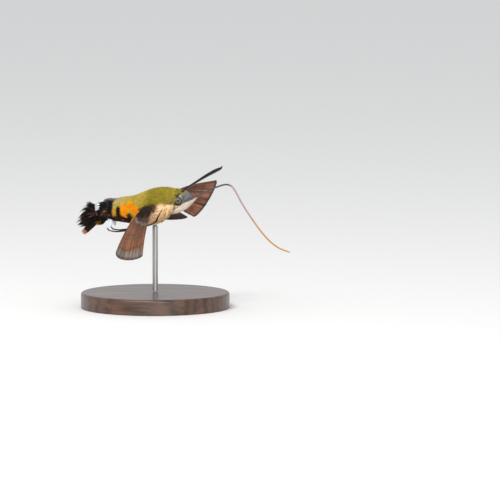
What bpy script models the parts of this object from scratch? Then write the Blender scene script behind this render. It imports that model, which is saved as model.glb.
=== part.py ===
"""A hummingbird hawk moth in hovering flight, life-size, held by a rod on a round display base.

The moth flies towards +X, its left side is towards +Y and +Z is up. The base stands on Z = 0 with its
centre at the origin. Every size below is in millimetres, and add_mesh turns them into metres.
"""

import math
import random
from typing import NamedTuple

import bmesh
import bpy
from mathutils import Vector

# Units and clearances
MM = 0.001
GAP = 0.3
FLIGHT_HEIGHT = 26.0
SIDES = {"right": -1, "left": 1}

# The exact solver loses some pieces as thin as these
SOLVER = "MANIFOLD"

# Display stand
BASE_RADIUS = 19.0
BASE_HEIGHT = 4.0
BASE_EDGE = 0.6
BASE_SIDES = 48
ROD_RADIUS = 0.7

# Torso
TORSO_SIDES = 24
TORSO_SQUARENESS = 2.2
TORSO_STEP = 0.95
DOME_ANGLES = (25, 50, 72, 86)
FRONT_DOME = 0.9
REAR_DOME = 0.7
WAIST_X = -2.6
MIDDLE_X = -6.7
BLACK_X = -10.7

# Head
HEAD_SIDES = 20
HEAD_STEP = 0.5
HEAD_DOMES = (0.7, 0.5)
PALP_SIDES = 12
PALP_STEPS = 10
PALP_ROOM_END = 13.0
EYE_CENTRE = (6.43, 1.95, 1.6)
EYE_RADII = (1.15, 0.95, 1.15)
ANTENNA_ROOT = (6.75, 1.0, 3.0)
ANTENNA_TIPS = {"right": (18.35, 2.6, 10.5), "left": (16.9, 4.2, 9.8)}
ANTENNA_BOW = 0.75
ANTENNA_BOW_REACHED = 0.15
ANTENNA_HOOK = 0.5
ANTENNA_HOOK_START = 0.93
ANTENNA_STEPS = 15
STALK_RADIUS = 0.25
CLUB_RADIUS = 0.42
PROBOSCIS_RADIUS = 0.28
PROBOSCIS_TIP_RADIUS = 0.22

# Wings
WING_ROOT = (0.6, 3.2, 1.0)
HINDWING_SETBACK = 1.9
HINDWING_UNDER = 1.0
WING_HALF_THICKNESS = 0.25
VEIN_RISE = 0.14
COSTA_RISE = 0.2
VEIN_HALF_WIDTH = 0.022
CELL_END = 0.52
CELL_VEINS = (2, 5)

# Legs
LEG_CLEARANCE = 0.35
THIGH_RADIUS = 0.36
SHIN_RADIUS = 0.27
FOOT_RADIUS = 0.25
JOINT_SWELL = 1.04


class Station(NamedTuple):
    """One section of a body: its middle, its half sizes, and its top's lean to the head in degrees."""

    x: float
    z: float
    half_height: float
    half_width: float
    lean: float


TORSO = (
    Station(5.3, 0.95, 3.35, 3.05, 30),
    Station(3.6, 0.6, 4.3, 3.95, 17),
    Station(1.2, 0.2, 4.75, 4.35, 6),
    Station(-1.3, -0.35, 4.65, 4.4, 0),
    Station(-3.3, -0.78, 4.25, 4.2, 0),
    Station(-5.5, -1.0, 3.65, 4.15, 0),
    Station(-8.3, -1.0, 3.25, 4.05, 0),
    Station(-10.2, -1.08, 2.92, 3.8, 0),
    Station(-12.2, -1.1, 2.65, 3.4, -2),
    Station(-13.8, -1.45, 2.45, 2.9, -12),
    Station(-14.9, -2.0, 2.05, 2.4, -22),
)
HEAD = (
    Station(4.7, 0.9, 1.3, 1.3, 0),
    Station(5.6, 1.25, 1.95, 2.1, 0),
    Station(6.8, 1.72, 2.2, 2.4, 0),
    Station(7.9, 2.12, 1.78, 2.0, 0),
    Station(8.7, 2.4, 1.2, 1.35, 0),
)
PALP = (
    Station(5.4, -0.95, 0.65, 0.75, 0),
    Station(6.6, -0.35, 0.95, 0.95, 0),
    Station(7.8, 0.6, 1.35, 0.9, 0),
    Station(9.0, 1.35, 1.15, 0.72, 0),
    Station(10.0, 2.0, 0.72, 0.5, 0),
    Station(10.8, 2.5, 0.28, 0.25, 0),
)
PALP_SPREAD = (1.25, 1.2, 1.05, 0.87, 0.7, 0.58)
TAIL_FAN = (
    Station(-14.7, -2.0, 2.0, 2.2, -21),
    Station(-16.4, -2.35, 2.5, 3.1, -17),
    Station(-17.9, -3.05, 2.3, 3.9, -14),
    Station(-19.2, -4.0, 1.6, 4.1, -12),
)
TAIL_PENCIL = ((-14.7, 0.0, -3.4), (-16.3, 0.0, -4.75), (-17.8, 0.0, -6.2), (-19.2, 0.0, -7.55))
TAIL_PENCIL_RADII = (0.6, 0.75, 0.7, 0.25)
BELLY_TUFT = ((-11.55, 1.75, -2.8), (-11.15, 1.95, -4.5), (-10.95, 2.0, -5.55))
BELLY_TUFT_RADII = (0.5, 0.42, 0.1)

# Locks of long scales
LOCK_TAPER = (0.8, 1.0, 0.85, 0.18)
LOCK_THICKNESS = 0.55
LOCK_BEND = 0.7
BUNDLE_SPREAD = 0.6
BUNDLE_CORE = 0.7
BUNDLE_DETAIL = 4
FAN_CORE_END = -17.0
FAN_CORE_DEPTH = 0.62
FAN_CORE_SIDES = 16
PENCIL_LOCKS = 6
PENCIL_LOCK_WIDTH = 0.85
BELLY_LOCKS = 4
BELLY_LOCK_WIDTH = 0.7
FAN_TOP_SHORTER = 1.4

# The tongue's course, forward and up, where its lengths part, and how finely it bends
PROBOSCIS = (
    (8.6, 1.75), (9.7, 2.25), (10.8, 2.77), (13.4, 4.0), (15.6, 5.0), (18.0, 5.8),
    (19.4, 5.72), (20.4, 5.0), (21.6, 3.05), (22.7, 1.05), (24.3, -1.4), (26.2, -4.1),
    (28.0, -6.4), (29.8, -8.3), (31.5, -9.6), (33.0, -10.4), (35.2, -11.1),
)
PROBOSCIS_CUTS = (0, 5, 8, 12, 16)
PROBOSCIS_DETAIL = 3


class Tier(NamedTuple):
    """A ring of locks round a body: from where to where along x, and how deep in its section they run."""

    count: int
    start: float
    end: float
    root_depth: float
    tip_depth: float
    width: float
    turn: float = 0.0


FAN_TIERS = (
    Tier(count=15, start=-15.2, end=-19.7, root_depth=0.55, tip_depth=1.0, width=1.35),
    Tier(count=9, start=-15.2, end=-20.1, root_depth=0.3, tip_depth=0.64, width=1.4, turn=0.4),
    Tier(count=4, start=-15.2, end=-20.2, root_depth=0.1, tip_depth=0.26, width=1.4, turn=0.2),
)
REAR_TIERS = (
    Tier(count=15, start=-11.4, end=-13.6, root_depth=0.8, tip_depth=1.1, width=1.7),
    Tier(count=13, start=-13.0, end=-15.1, root_depth=0.8, tip_depth=1.14, width=1.6, turn=0.5),
)


class WingPose(NamedTuple):
    """How a wing is held, in degrees: tip swept to the head, tip lifted, trailing edge pitched down."""

    sweep: float
    lift: float
    root_pitch: float
    pitch: float


class WingShape(NamedTuple):
    """A wing laid flat: span runs from root to tip, chord from the leading edge back."""

    root_chord: float
    apex: tuple
    apex_handle: tuple
    margin_handle: tuple
    tornus: tuple
    costa_bow: float
    dorsum_bow: float
    camber: float
    arch: float
    veins: int


FOREWING = WingShape(
    root_chord=2.3,
    apex=(19.6, 0.1),
    apex_handle=(22.0, 1.3),
    margin_handle=(18.4, 8.8),
    tornus=(13.6, 9.3),
    costa_bow=0.2,
    dorsum_bow=-0.5,
    camber=0.6,
    arch=1.2,
    veins=8,
)
HINDWING = WingShape(
    root_chord=1.8,
    apex=(10.4, 0.5),
    apex_handle=(12.8, 2.4),
    margin_handle=(9.6, 6.8),
    tornus=(4.9, 5.4),
    costa_bow=0.4,
    dorsum_bow=0.4,
    camber=0.4,
    arch=0.4,
    veins=6,
)
FOREWING_POSES = {
    "left": WingPose(sweep=35.5, lift=12.5, root_pitch=25.0, pitch=66.0),
    "right": WingPose(sweep=2.3, lift=-36.9, root_pitch=18.0, pitch=27.0),
}
HINDWING_POSES = {
    "left": WingPose(sweep=38.0, lift=-16.0, root_pitch=20.0, pitch=22.0),
    "right": WingPose(sweep=2.0, lift=-38.0, root_pitch=20.0, pitch=24.0),
}


class LegLie(NamedTuple):
    """A folded leg: each joint as a place along the torso and an angle below its side, in degrees."""

    hip: tuple
    knee: tuple
    ankle: tuple
    toe: tuple


FORELEG = LegLie(hip=(4.3, 64), knee=(4.9, 26), ankle=(3.7, 56), toe=(2.9, 79))
MIDLEG = LegLie(hip=(2.0, 58), knee=(3.6, 6), ankle=(1.3, 52), toe=(-1.6, 68))
HINDLEG_HIP = (-1.9, 50)
HINDLEG_FREE = (
    (-3.3, 2.5, -5.9), (-6.6, 2.3, -6.15), (-9.5, 2.1, -6.5), (-11.3, 2.0, -6.35), (-11.9, 2.0, -5.95)
)

# Colours as linear red, green and blue, with roughness and metallic value
FINISHES = {
    "olive_fur": ((0.25, 0.21, 0.05), 0.9, 0.0),
    "orange_fur": ((0.75, 0.3, 0.03), 0.9, 0.0),
    "black_fur": ((0.015, 0.014, 0.016), 0.8, 0.0),
    "cream_fur": ((0.7, 0.6, 0.48), 0.9, 0.0),
    "eye": ((0.06, 0.06, 0.035), 0.2, 0.0),
    "antenna": ((0.035, 0.032, 0.035), 0.6, 0.0),
    "proboscis": ((0.42, 0.25, 0.12), 0.45, 0.0),
    "wing": ((0.13, 0.055, 0.03), 0.7, 0.0),
    "hindwing": ((0.3, 0.11, 0.03), 0.7, 0.0),
    "leg": ((0.14, 0.09, 0.055), 0.7, 0.0),
    "lacquered_wood": ((0.05, 0.02, 0.012), 0.25, 0.0),
    "rod_metal": ((0.62, 0.6, 0.56), 0.3, 1.0),
}


def clear_scene():
    for item in list(bpy.data.objects):
        bpy.data.objects.remove(item, do_unlink=True)


def new_collection(name):
    collection = bpy.data.collections.new(name)
    bpy.context.scene.collection.children.link(collection)
    return collection


def finish_material(name):
    """The named finish as a Principled material, made once."""
    found = bpy.data.materials.get(name)
    if found:
        return found
    colour, roughness, metallic = FINISHES[name]
    material = bpy.data.materials.new(name)
    material.use_nodes = True
    shader = material.node_tree.nodes["Principled BSDF"]
    shader.inputs["Base Color"].default_value = (*colour, 1.0)
    shader.inputs["Roughness"].default_value = roughness
    shader.inputs["Metallic"].default_value = metallic
    material.diffuse_color = (*colour, 1.0)
    return material


def add_mesh(name, points, faces, finish, collection):
    """A mesh object from points in millimetres above the floor, with its faces pointing out."""
    mesh = bpy.data.meshes.new(name)
    mesh.from_pydata([Vector(point) * MM for point in points], [], faces)
    shape = bmesh.new()
    shape.from_mesh(mesh)
    bmesh.ops.recalc_face_normals(shape, faces=shape.faces)
    shape.to_mesh(mesh)
    shape.free()
    mesh.materials.append(finish_material(finish))
    mesh.shade_smooth()
    mesh.set_sharp_from_angle(angle=math.radians(40))
    item = bpy.data.objects.new(name, mesh)
    collection.objects.link(item)
    return item


def add_cutter(name, points, faces, cutters):
    """A helper solid that is only cut away from others."""
    item = add_mesh(name, points, faces, "olive_fur", cutters)
    item.hide_render = True
    item.display_type = "WIRE"
    return item


def keep_largest(mesh):
    """Removes every closed surface of the mesh but the one with the most room in it."""
    shape = bmesh.new()
    shape.from_mesh(mesh)
    left = set(shape.faces)
    shells = []
    while left:
        shell = set()
        edge_of_shell = [next(iter(left))]
        while edge_of_shell:
            face = edge_of_shell.pop()
            if face in shell:
                continue
            shell.add(face)
            for edge in face.edges:
                edge_of_shell.extend(near for near in edge.link_faces if near not in shell)
        left -= shell
        shells.append(shell)
    shells.sort(key=shell_volume)
    for shell in shells[:-1]:
        bmesh.ops.delete(shape, geom=list({vert for face in shell for vert in face.verts}), context="VERTS")
    shape.to_mesh(mesh)
    shape.free()


def shell_volume(shell):
    """Signed volume under the faces of one closed surface."""
    total = 0.0
    for face in shell:
        first, *rest = [loop.vert.co for loop in face.loops]
        for second, third in zip(rest, rest[1:]):
            total += first.dot(second.cross(third))
    return total


def apply_modifiers(item):
    """Makes the evaluated mesh the object's own, and keeps its largest closed surface."""
    graph = bpy.context.evaluated_depsgraph_get()
    mesh = bpy.data.meshes.new_from_object(item.evaluated_get(graph))
    item.modifiers.clear()
    old = item.data
    item.data = mesh
    bpy.data.meshes.remove(old)
    keep_largest(mesh)
    mesh.name = item.name


def cut(item, *cutters):
    """Takes the cutters away from the object."""
    for cutter in cutters:
        boolean = item.modifiers.new("cut " + cutter.name, "BOOLEAN")
        boolean.operation = "DIFFERENCE"
        boolean.solver = SOLVER
        boolean.object = cutter
    apply_modifiers(item)
    return item


def smooth_through(knots, values, place):
    """The value at a place, on a smooth curve through values at rising knots."""
    last = len(knots) - 1
    index = min(max(sum(knot <= place for knot in knots) - 1, 0), last - 1)
    width = knots[index + 1] - knots[index]
    share = (place - knots[index]) / width

    def slope(at):
        low = max(at - 1, 0)
        high = min(at + 1, last)
        return (values[high] - values[low]) / (knots[high] - knots[low])

    start, end = values[index], values[index + 1]
    square, cube = share**2, share**3
    return (
        (2 * cube - 3 * square + 1) * start
        + (cube - 2 * square + share) * width * slope(index)
        + (3 * square - 2 * cube) * end
        + (cube - square) * width * slope(index + 1)
    )


def station_at(stations, x):
    """The section of a body at x, smooth between its stations."""
    ordered = sorted(stations)
    knots = [station.x for station in ordered]
    return Station(x, *(smooth_through(knots, column, x) for column in list(zip(*ordered))[1:]))


def section_offset(station, angle, squareness=TORSO_SQUARENESS):
    """Across and up from the section's middle, at an angle in radians from its left side."""
    power = 2 / squareness
    across = math.copysign(abs(math.cos(angle)) ** power, math.cos(angle)) * station.half_width
    up = math.copysign(abs(math.sin(angle)) ** power, math.sin(angle)) * station.half_height
    return across, up


def ring(station, sides, grow=0.0, scale=1.0, forward=0.0, side_shift=0.0):
    """The points round one section, above the floor, with its top leaning to the head."""
    lean = math.radians(station.lean)
    grown = station._replace(
        half_height=(station.half_height + grow) * scale, half_width=(station.half_width + grow) * scale
    )
    points = []
    for step in range(sides):
        across, up = section_offset(grown, math.tau * step / sides)
        points.append(
            Vector(
                (
                    station.x + up * math.sin(lean) + forward * math.cos(lean),
                    across + side_shift,
                    station.z + FLIGHT_HEIGHT + up * math.cos(lean) - forward * math.sin(lean),
                )
            )
        )
    return points


def loft(rings):
    """Points and faces of a closed tube through rings of equal length, with flat ends."""
    sides = len(rings[0])
    points = [point for each in rings for point in each]
    faces = [tuple(range(sides)), tuple(range(len(points) - sides, len(points)))]
    for first in range(0, len(points) - sides, sides):
        for step in range(sides):
            after = (step + 1) % sides
            faces.append((first + step, first + after, first + sides + after, first + sides + step))
    return points, faces


def body_loft(stations, start, end, step, sides, domes=(0.0, 0.0), grow=0.0):
    """A body from start to end along x, each end flat or domed forward or back."""
    count = max(round(abs(end - start) / step), 1)
    places = [start + (end - start) * index / count for index in range(count + 1)]
    sections = [station_at(stations, place) for place in places]
    rings = [ring(section, sides, grow) for section in sections]
    direction = math.copysign(1, end - start)
    front_dome = dome_rings(sections[0], sides, domes[0], -direction, grow)
    rear_dome = dome_rings(sections[-1], sides, domes[1], direction, grow)
    return loft(front_dome[::-1] + rings + rear_dome)


def dome_rings(section, sides, height, direction, grow):
    """Shrinking rings that round off one end, or one ring further out for a grown flat end."""
    if not height:
        return [ring(section, sides, grow, forward=direction * grow)] if grow else []
    rings = []
    for angle in DOME_ANGLES:
        turn = math.radians(angle)
        rings.append(
            ring(section, sides, grow, math.cos(turn), direction * (height + grow) * math.sin(turn))
        )
    return rings


def torso_piece(name, start, end, finish, collection, domes=(0.0, 0.0)):
    return add_mesh(name, *body_loft(TORSO, start, end, TORSO_STEP, TORSO_SIDES, domes), finish, collection)


def on_torso(x, degrees_down, clearance, side):
    """A point over the torso's surface, at an angle below its left or right side."""
    station = station_at(TORSO, x)
    angle = math.radians(-degrees_down)
    across, up = section_offset(station, angle)
    outward = Vector((math.cos(angle) / station.half_width, math.sin(angle) / station.half_height))
    outward.normalize()
    across += outward.x * clearance
    up += outward.y * clearance
    lean = math.radians(station.lean)
    return Vector(
        (x + up * math.sin(lean), side * across, station.z + FLIGHT_HEIGHT + up * math.cos(lean))
    )


def above_floor(point, side=1):
    """A point given from the moth's middle line, mirrored to its side and raised to the flight height."""
    x, y, z = point
    return Vector((x, side * y, z + FLIGHT_HEIGHT))


def tube(name, path, radii, finish, collection, resolution=2):
    """A tapered wire through a path, as a mesh."""
    curve = bpy.data.curves.new(name, "CURVE")
    curve.dimensions = "3D"
    curve.bevel_depth = MM
    curve.bevel_resolution = resolution
    curve.use_fill_caps = True
    spline = curve.splines.new("POLY")
    spline.points.add(len(path) - 1)
    for point, place, radius in zip(spline.points, path, radii):
        point.co = (*(place * MM), 1.0)
        point.radius = radius
    wire = bpy.data.objects.new(name, curve)
    collection.objects.link(wire)
    graph = bpy.context.evaluated_depsgraph_get()
    mesh = bpy.data.meshes.new_from_object(wire.evaluated_get(graph))
    bpy.data.objects.remove(wire)
    shape = bmesh.new()
    shape.from_mesh(mesh)
    bmesh.ops.remove_doubles(shape, verts=shape.verts, dist=0.002 * MM)
    bmesh.ops.recalc_face_normals(shape, faces=shape.faces)
    shape.to_mesh(mesh)
    shape.free()
    mesh.materials.clear()
    mesh.materials.append(finish_material(finish))
    mesh.shade_smooth()
    item = bpy.data.objects.new(name, mesh)
    collection.objects.link(item)
    return item


def hide_as_cutter(item):
    item.hide_render = True
    item.display_type = "WIRE"
    return item


def smooth_path(points, per_span):
    """A denser path on a smooth curve through the points."""
    knots = list(range(len(points)))
    columns = list(zip(*points))
    count = (len(points) - 1) * per_span
    places = [index / per_span for index in range(count + 1)]
    return [Vector([smooth_through(knots, column, place) for column in columns]) for place in places]


def ellipsoid(name, centre, radii, finish, collection, rows=9, columns=16):
    shape = bmesh.new()
    bmesh.ops.create_uvsphere(shape, u_segments=columns, v_segments=rows, radius=1.0)
    points = [Vector(centre) + vert.co * Vector(radii) for vert in shape.verts]
    shape.verts.index_update()
    faces = [[vert.index for vert in face.verts] for face in shape.faces]
    shape.free()
    return add_mesh(name, points, faces, finish, collection)


def make_cutters(cutters):
    """The torso, head and eyes grown by the gap, which the pieces that touch them are cut with."""
    torso = body_loft(
        TORSO, TORSO[0].x, TORSO[-1].x, TORSO_STEP, TORSO_SIDES, (FRONT_DOME, REAR_DOME), grow=GAP
    )
    head = body_loft(HEAD, HEAD[-1].x, HEAD[0].x, HEAD_STEP, HEAD_SIDES, HEAD_DOMES, grow=GAP)
    found = {
        "torso": add_cutter("torso_room", *torso, cutters),
        "head": add_cutter("head_room", *head, cutters),
    }
    for name, side in SIDES.items():
        grown = [radius + GAP for radius in EYE_RADII]
        eye = ellipsoid("eye_room_" + name, above_floor(EYE_CENTRE, side), grown, "eye", cutters)
        found["eye_" + name] = hide_as_cutter(eye)
    return found


def make_head(collection, rooms):
    points, faces = body_loft(HEAD, HEAD[-1].x, HEAD[0].x, HEAD_STEP, HEAD_SIDES, HEAD_DOMES)
    head = add_mesh("head", points, faces, "olive_fur", collection)
    return cut(head, rooms["eye_left"], rooms["eye_right"])


def make_eyes(collection):
    for name, side in SIDES.items():
        ellipsoid("eye_" + name, above_floor(EYE_CENTRE, side), EYE_RADII, "eye", collection)


def make_palp(name, side, collection, rooms):
    """A flat, upturned blade beside the mouth."""
    knots = [station.x for station in PALP]
    rings = []
    for index in range(PALP_STEPS + 1):
        x = PALP[0].x + (PALP[-1].x - PALP[0].x) * index / PALP_STEPS
        spread = smooth_through(knots, PALP_SPREAD, x)
        rings.append(ring(station_at(PALP, x), PALP_SIDES, side_shift=side * spread))
    palp = add_mesh("palp_" + name, *loft(rings), "cream_fur", collection)
    return cut(
        palp, rooms["head"], rooms["torso"], rooms["eye_" + name], rooms["proboscis"]
    )


def antenna_path(name, side):
    """A line that rises steeply from the head, then bows gently to its tip, with a small hook at its end."""
    root = above_floor(ANTENNA_ROOT, side)
    tip = above_floor(ANTENNA_TIPS[name], side)
    path = []
    for index in range(ANTENNA_STEPS + 1):
        share = index / ANTENNA_STEPS
        left_to_rise = 1 - min(share / ANTENNA_BOW_REACHED, 1)
        bow = ANTENNA_BOW * (1 - left_to_rise**2) * (1 - share**4)
        hook = ANTENNA_HOOK * max(share - ANTENNA_HOOK_START, 0) / (1 - ANTENNA_HOOK_START)
        path.append(root.lerp(tip, share) + Vector((-hook * 0.5, 0, hook * 0.6 + bow)))
    return path


def antenna_radii(count):
    """Thin at the root, widest past the middle and drawn in to the hook."""
    knots = (0.0, 0.35, 0.72, 0.9, 1.0)
    values = (STALK_RADIUS, STALK_RADIUS * 1.1, CLUB_RADIUS, CLUB_RADIUS * 0.85, STALK_RADIUS * 0.6)
    return [smooth_through(knots, values, index / (count - 1)) for index in range(count)]


def make_antenna(name, side, collection, rooms):
    path = antenna_path(name, side)
    antenna = tube("antenna_" + name, path, antenna_radii(len(path)), "antenna", collection)
    return cut(antenna, rooms["head"])


def proboscis_path():
    return smooth_path([above_floor((x, 0.0, z)) for x, z in PROBOSCIS], PROBOSCIS_DETAIL)


def make_proboscis_room(cutters):
    path = [point for point in proboscis_path() if point.x < PALP_ROOM_END]
    radii = [PROBOSCIS_RADIUS + GAP] * len(path)
    return hide_as_cutter(tube("proboscis_room", path, radii, "proboscis", cutters, resolution=3))


def shortened(path, cut_off):
    """The path with its ends drawn in, so that two lengths meet with a gap."""
    first = path[0] + (path[1] - path[0]).normalized() * cut_off
    last = path[-1] + (path[-2] - path[-1]).normalized() * cut_off
    return [first, *path[1:-1], last]


def make_proboscis(collection, rooms):
    """The long tongue in four lengths, each face to face with the next."""
    path = proboscis_path()
    edges = [place * PROBOSCIS_DETAIL for place in PROBOSCIS_CUTS]
    for index, (start, end) in enumerate(zip(edges, edges[1:])):
        length = shortened(path[start : end + 1], GAP / 2)
        radii = [
            PROBOSCIS_RADIUS + (PROBOSCIS_TIP_RADIUS - PROBOSCIS_RADIUS) * place / (len(path) - 1)
            for place in range(start, end + 1)
        ]
        item = tube(f"proboscis_{index + 1}", length, radii, "proboscis", collection)
        if index == 0:
            cut(item, rooms["head"])


def wing_axes(pose, side, along=1.0):
    """Unit directions along the span and the chord and out of the upper face, twisted from root to tip."""
    sweep = math.radians(pose.sweep)
    lift = math.radians(pose.lift)
    pitch = math.radians(pose.root_pitch + (pose.pitch - pose.root_pitch) * along)
    span = Vector((math.cos(lift) * math.sin(sweep), math.cos(lift) * math.cos(sweep), math.sin(lift)))
    level = Vector((-math.cos(sweep), math.sin(sweep), 0))
    chord = level * math.cos(pitch) - span.cross(level) * math.sin(pitch)
    mirror = Vector((1, side, 1))
    return [axis * mirror for axis in (span, chord, span.cross(chord))]


def wing_outline_point(shape, along, across):
    """Span and chord of a point: along from root to margin, across from leading to trailing edge."""
    handles = (shape.apex, shape.apex_handle, shape.margin_handle, shape.tornus)
    weights = (
        (1 - across) ** 3,
        3 * across * (1 - across) ** 2,
        3 * across**2 * (1 - across),
        across**3,
    )
    margin = [sum(weight * handle[axis] for weight, handle in zip(weights, handles)) for axis in (0, 1)]
    bow = math.sin(math.pi * along)
    chord_bow = shape.dorsum_bow * bow * across**3 - shape.costa_bow * bow * (1 - across) ** 3
    root = shape.root_chord * across
    return margin[0] * along, root + (margin[1] - root) * along + chord_bow


def wing_columns(shape):
    """Places across the wing with the rise of the surface there: each vein is a crest between two edges."""
    columns = [(0.0, COSTA_RISE, None)]
    for vein in range(shape.veins):
        crest = (vein + 0.6) / (shape.veins + 0.1)
        columns.append((crest - VEIN_HALF_WIDTH, 0.0, vein - 0.1))
        columns.append((crest, VEIN_RISE, vein))
        columns.append((crest + VEIN_HALF_WIDTH, 0.0, vein + 0.1))
    columns.append((1.0, 0.0, None))
    return columns


def wing_rows():
    """Places along the wing, with three close ones over the cross vein that ends the cell."""
    return (0.0, 0.12, 0.26, 0.4, CELL_END - 0.02, CELL_END, CELL_END + 0.02, 0.7, 0.86, 1.0)


def wing_rise(row, column):
    """How far the surface stands over the membrane: veins, thinner to the margin, and the cross vein."""
    place, rise, vein = column
    rise *= 1 - 0.45 * row
    if row == CELL_END and vein is not None and CELL_VEINS[0] <= vein <= CELL_VEINS[1]:
        rise = max(rise, VEIN_RISE * 0.7)
    return rise


def make_wing(name, shape, pose, root, side, finish, collection, rooms):
    """A cambered membrane with raised veins on both faces, both split into triangles the same way."""
    columns = wing_columns(shape)
    rows = wing_rows()
    points = []
    for face in (1, -1):
        for row in rows:
            span, chord, up = wing_axes(pose, side, row)
            arch = shape.arch * math.sin(math.pi * row)
            for column in columns:
                along_span, along_chord = wing_outline_point(shape, row, column[0])
                camber = shape.camber * math.sin(math.pi * column[0]) * math.sin(math.pi * row * 0.6)
                height = arch + camber + face * (WING_HALF_THICKNESS + wing_rise(row, column))
                points.append(root + span * along_span + chord * along_chord + up * height)
    faces = wing_faces(len(rows), len(columns))
    wing = add_mesh(name, points, faces, finish, collection)
    return cut(wing, rooms["torso"])


def wing_faces(rows, columns):
    """Triangles of two like grids and of the strip that joins their edges."""
    lower = rows * columns
    faces = []
    for row in range(rows - 1):
        for column in range(columns - 1):
            first = row * columns + column
            second, third, fourth = first + 1, first + columns + 1, first + columns
            for shift in (0, lower):
                faces.append((first + shift, second + shift, third + shift))
                faces.append((first + shift, third + shift, fourth + shift))
    edge = list(range(columns))
    edge += [row * columns + columns - 1 for row in range(1, rows)]
    edge += [(rows - 1) * columns + column for column in range(columns - 2, -1, -1)]
    edge += [row * columns for row in range(rows - 2, 0, -1)]
    for here, after in zip(edge, edge[1:] + edge[:1]):
        faces.append((here, after, after + lower))
        faces.append((here, after + lower, here + lower))
    return faces


def make_wings(collection, rooms):
    for name, side in SIDES.items():
        root = above_floor(WING_ROOT, side)
        make_wing("forewing_" + name, FOREWING, FOREWING_POSES[name], root, side, "wing", collection, rooms)
        _, chord, up = wing_axes(FOREWING_POSES[name], side, 0.0)
        behind = root + chord * HINDWING_SETBACK - up * HINDWING_UNDER
        make_wing(
            "hindwing_" + name, HINDWING, HINDWING_POSES[name], behind, side, "hindwing", collection, rooms
        )


def lie_on_torso(start, end, radius, side, steps=3):
    """Points along the torso's skin between two joints of a leg."""
    points = []
    for index in range(steps + 1):
        share = index / steps
        x = start[0] + (end[0] - start[0]) * share
        degrees = start[1] + (end[1] - start[1]) * share
        points.append(on_torso(x, degrees, radius + LEG_CLEARANCE, side))
    return points


def jointed_leg(name, lengths, collection, rooms):
    """A leg fused from tubes, each a path with a radius, with a ball at every joint between them."""
    pieces = []
    for index, (path, radius) in enumerate(lengths):
        pieces.append(tube(f"{name}_{index}", path, [radius] * len(path), "leg", collection, resolution=1))
        if index:
            ball_radii = [lengths[index - 1][1] * JOINT_SWELL] * 3
            pieces.append(ellipsoid(f"{name}_joint_{index}", path[0], ball_radii, "leg", collection, 5, 8))
    leg, *others = pieces
    leg.name = name
    join_to(leg, others)
    return cut(leg, rooms["torso"])


def make_folded_leg(name, lie, side, collection, rooms):
    """A leg that starts in the chest and lies along it: up to the knee, down to the ankle and back."""
    hip = on_torso(*lie.hip, -THIGH_RADIUS, side)
    thigh = lie_on_torso(lie.hip, lie.knee, THIGH_RADIUS, side)
    shin = lie_on_torso(lie.knee, lie.ankle, SHIN_RADIUS, side)
    foot = lie_on_torso(lie.ankle, lie.toe, FOOT_RADIUS, side)
    lengths = [
        ([hip, thigh[0]], THIGH_RADIUS),
        (thigh, THIGH_RADIUS),
        (shin, SHIN_RADIUS),
        (foot, FOOT_RADIUS),
    ]
    jointed_leg(name, lengths, collection, rooms)


def make_trailing_leg(name, side, collection, rooms):
    """A hind leg held out behind, below the abdomen."""
    hip = on_torso(*HINDLEG_HIP, -THIGH_RADIUS, side)
    free = [above_floor(point, side) for point in HINDLEG_FREE]
    lengths = [([hip, free[0]], THIGH_RADIUS), (smooth_path(free, 4), SHIN_RADIUS)]
    jointed_leg(name, lengths, collection, rooms)


def make_legs(collection, rooms):
    for name, side in SIDES.items():
        make_folded_leg("foreleg_" + name, FORELEG, side, collection, rooms)
        make_folded_leg("midleg_" + name, MIDLEG, side, collection, rooms)
        make_trailing_leg("hindleg_" + name, side, collection, rooms)


def lock(name, path, across, width, finish, collection):
    """A flat lock of scales along a path: four-sided, widest near its root and drawn to a point."""
    rings = []
    for index, point in enumerate(path):
        ahead = path[min(index + 1, len(path) - 1)] - path[max(index - 1, 0)]
        flat = (across - ahead * across.dot(ahead) / ahead.length_squared).normalized()
        rise = ahead.normalized().cross(flat)
        taper = LOCK_TAPER[index]
        half_width = flat * width * taper / 2
        half_rise = rise * LOCK_THICKNESS * math.sqrt(taper) / 2
        rings.append([point + half_width, point + half_rise, point - half_width, point - half_rise])
    return add_mesh(name, *loft(rings), finish, collection)


def section_point(stations, x, angle, depth):
    """A point of a body's section at x, from its middle at depth 0 to its surface at depth 1."""
    station = station_at(stations, x)
    across, up = (offset * depth for offset in section_offset(station, angle))
    lean = math.radians(station.lean)
    return Vector((x + up * math.sin(lean), across, station.z + FLIGHT_HEIGHT + up * math.cos(lean)))


def tier_of_locks(name, stations, tier, shorter_above, finish, collection, draw):
    """The locks of one tier, each following the body's lie, with a little disorder."""
    locks = []
    last = len(LOCK_TAPER) - 1
    for index in range(tier.count):
        angle = math.tau * (index + tier.turn + draw.uniform(-0.15, 0.15)) / tier.count
        end = tier.end + draw.uniform(-0.25, 0.35) + shorter_above * max(math.sin(angle), 0)
        rise = tier.tip_depth + draw.uniform(-0.03, 0.03) - tier.root_depth
        path = []
        for step in range(last + 1):
            share = step / last
            x = tier.start + (end - tier.start) * share
            depth = tier.root_depth + rise * share**LOCK_BEND
            path.append(section_point(stations, x, angle, depth))
        across = Vector((0, -math.sin(angle), math.cos(angle)))
        width = tier.width * draw.uniform(0.9, 1.15)
        locks.append(lock(f"{name}_{index}", path, across, width, finish, collection))
    return locks


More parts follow.
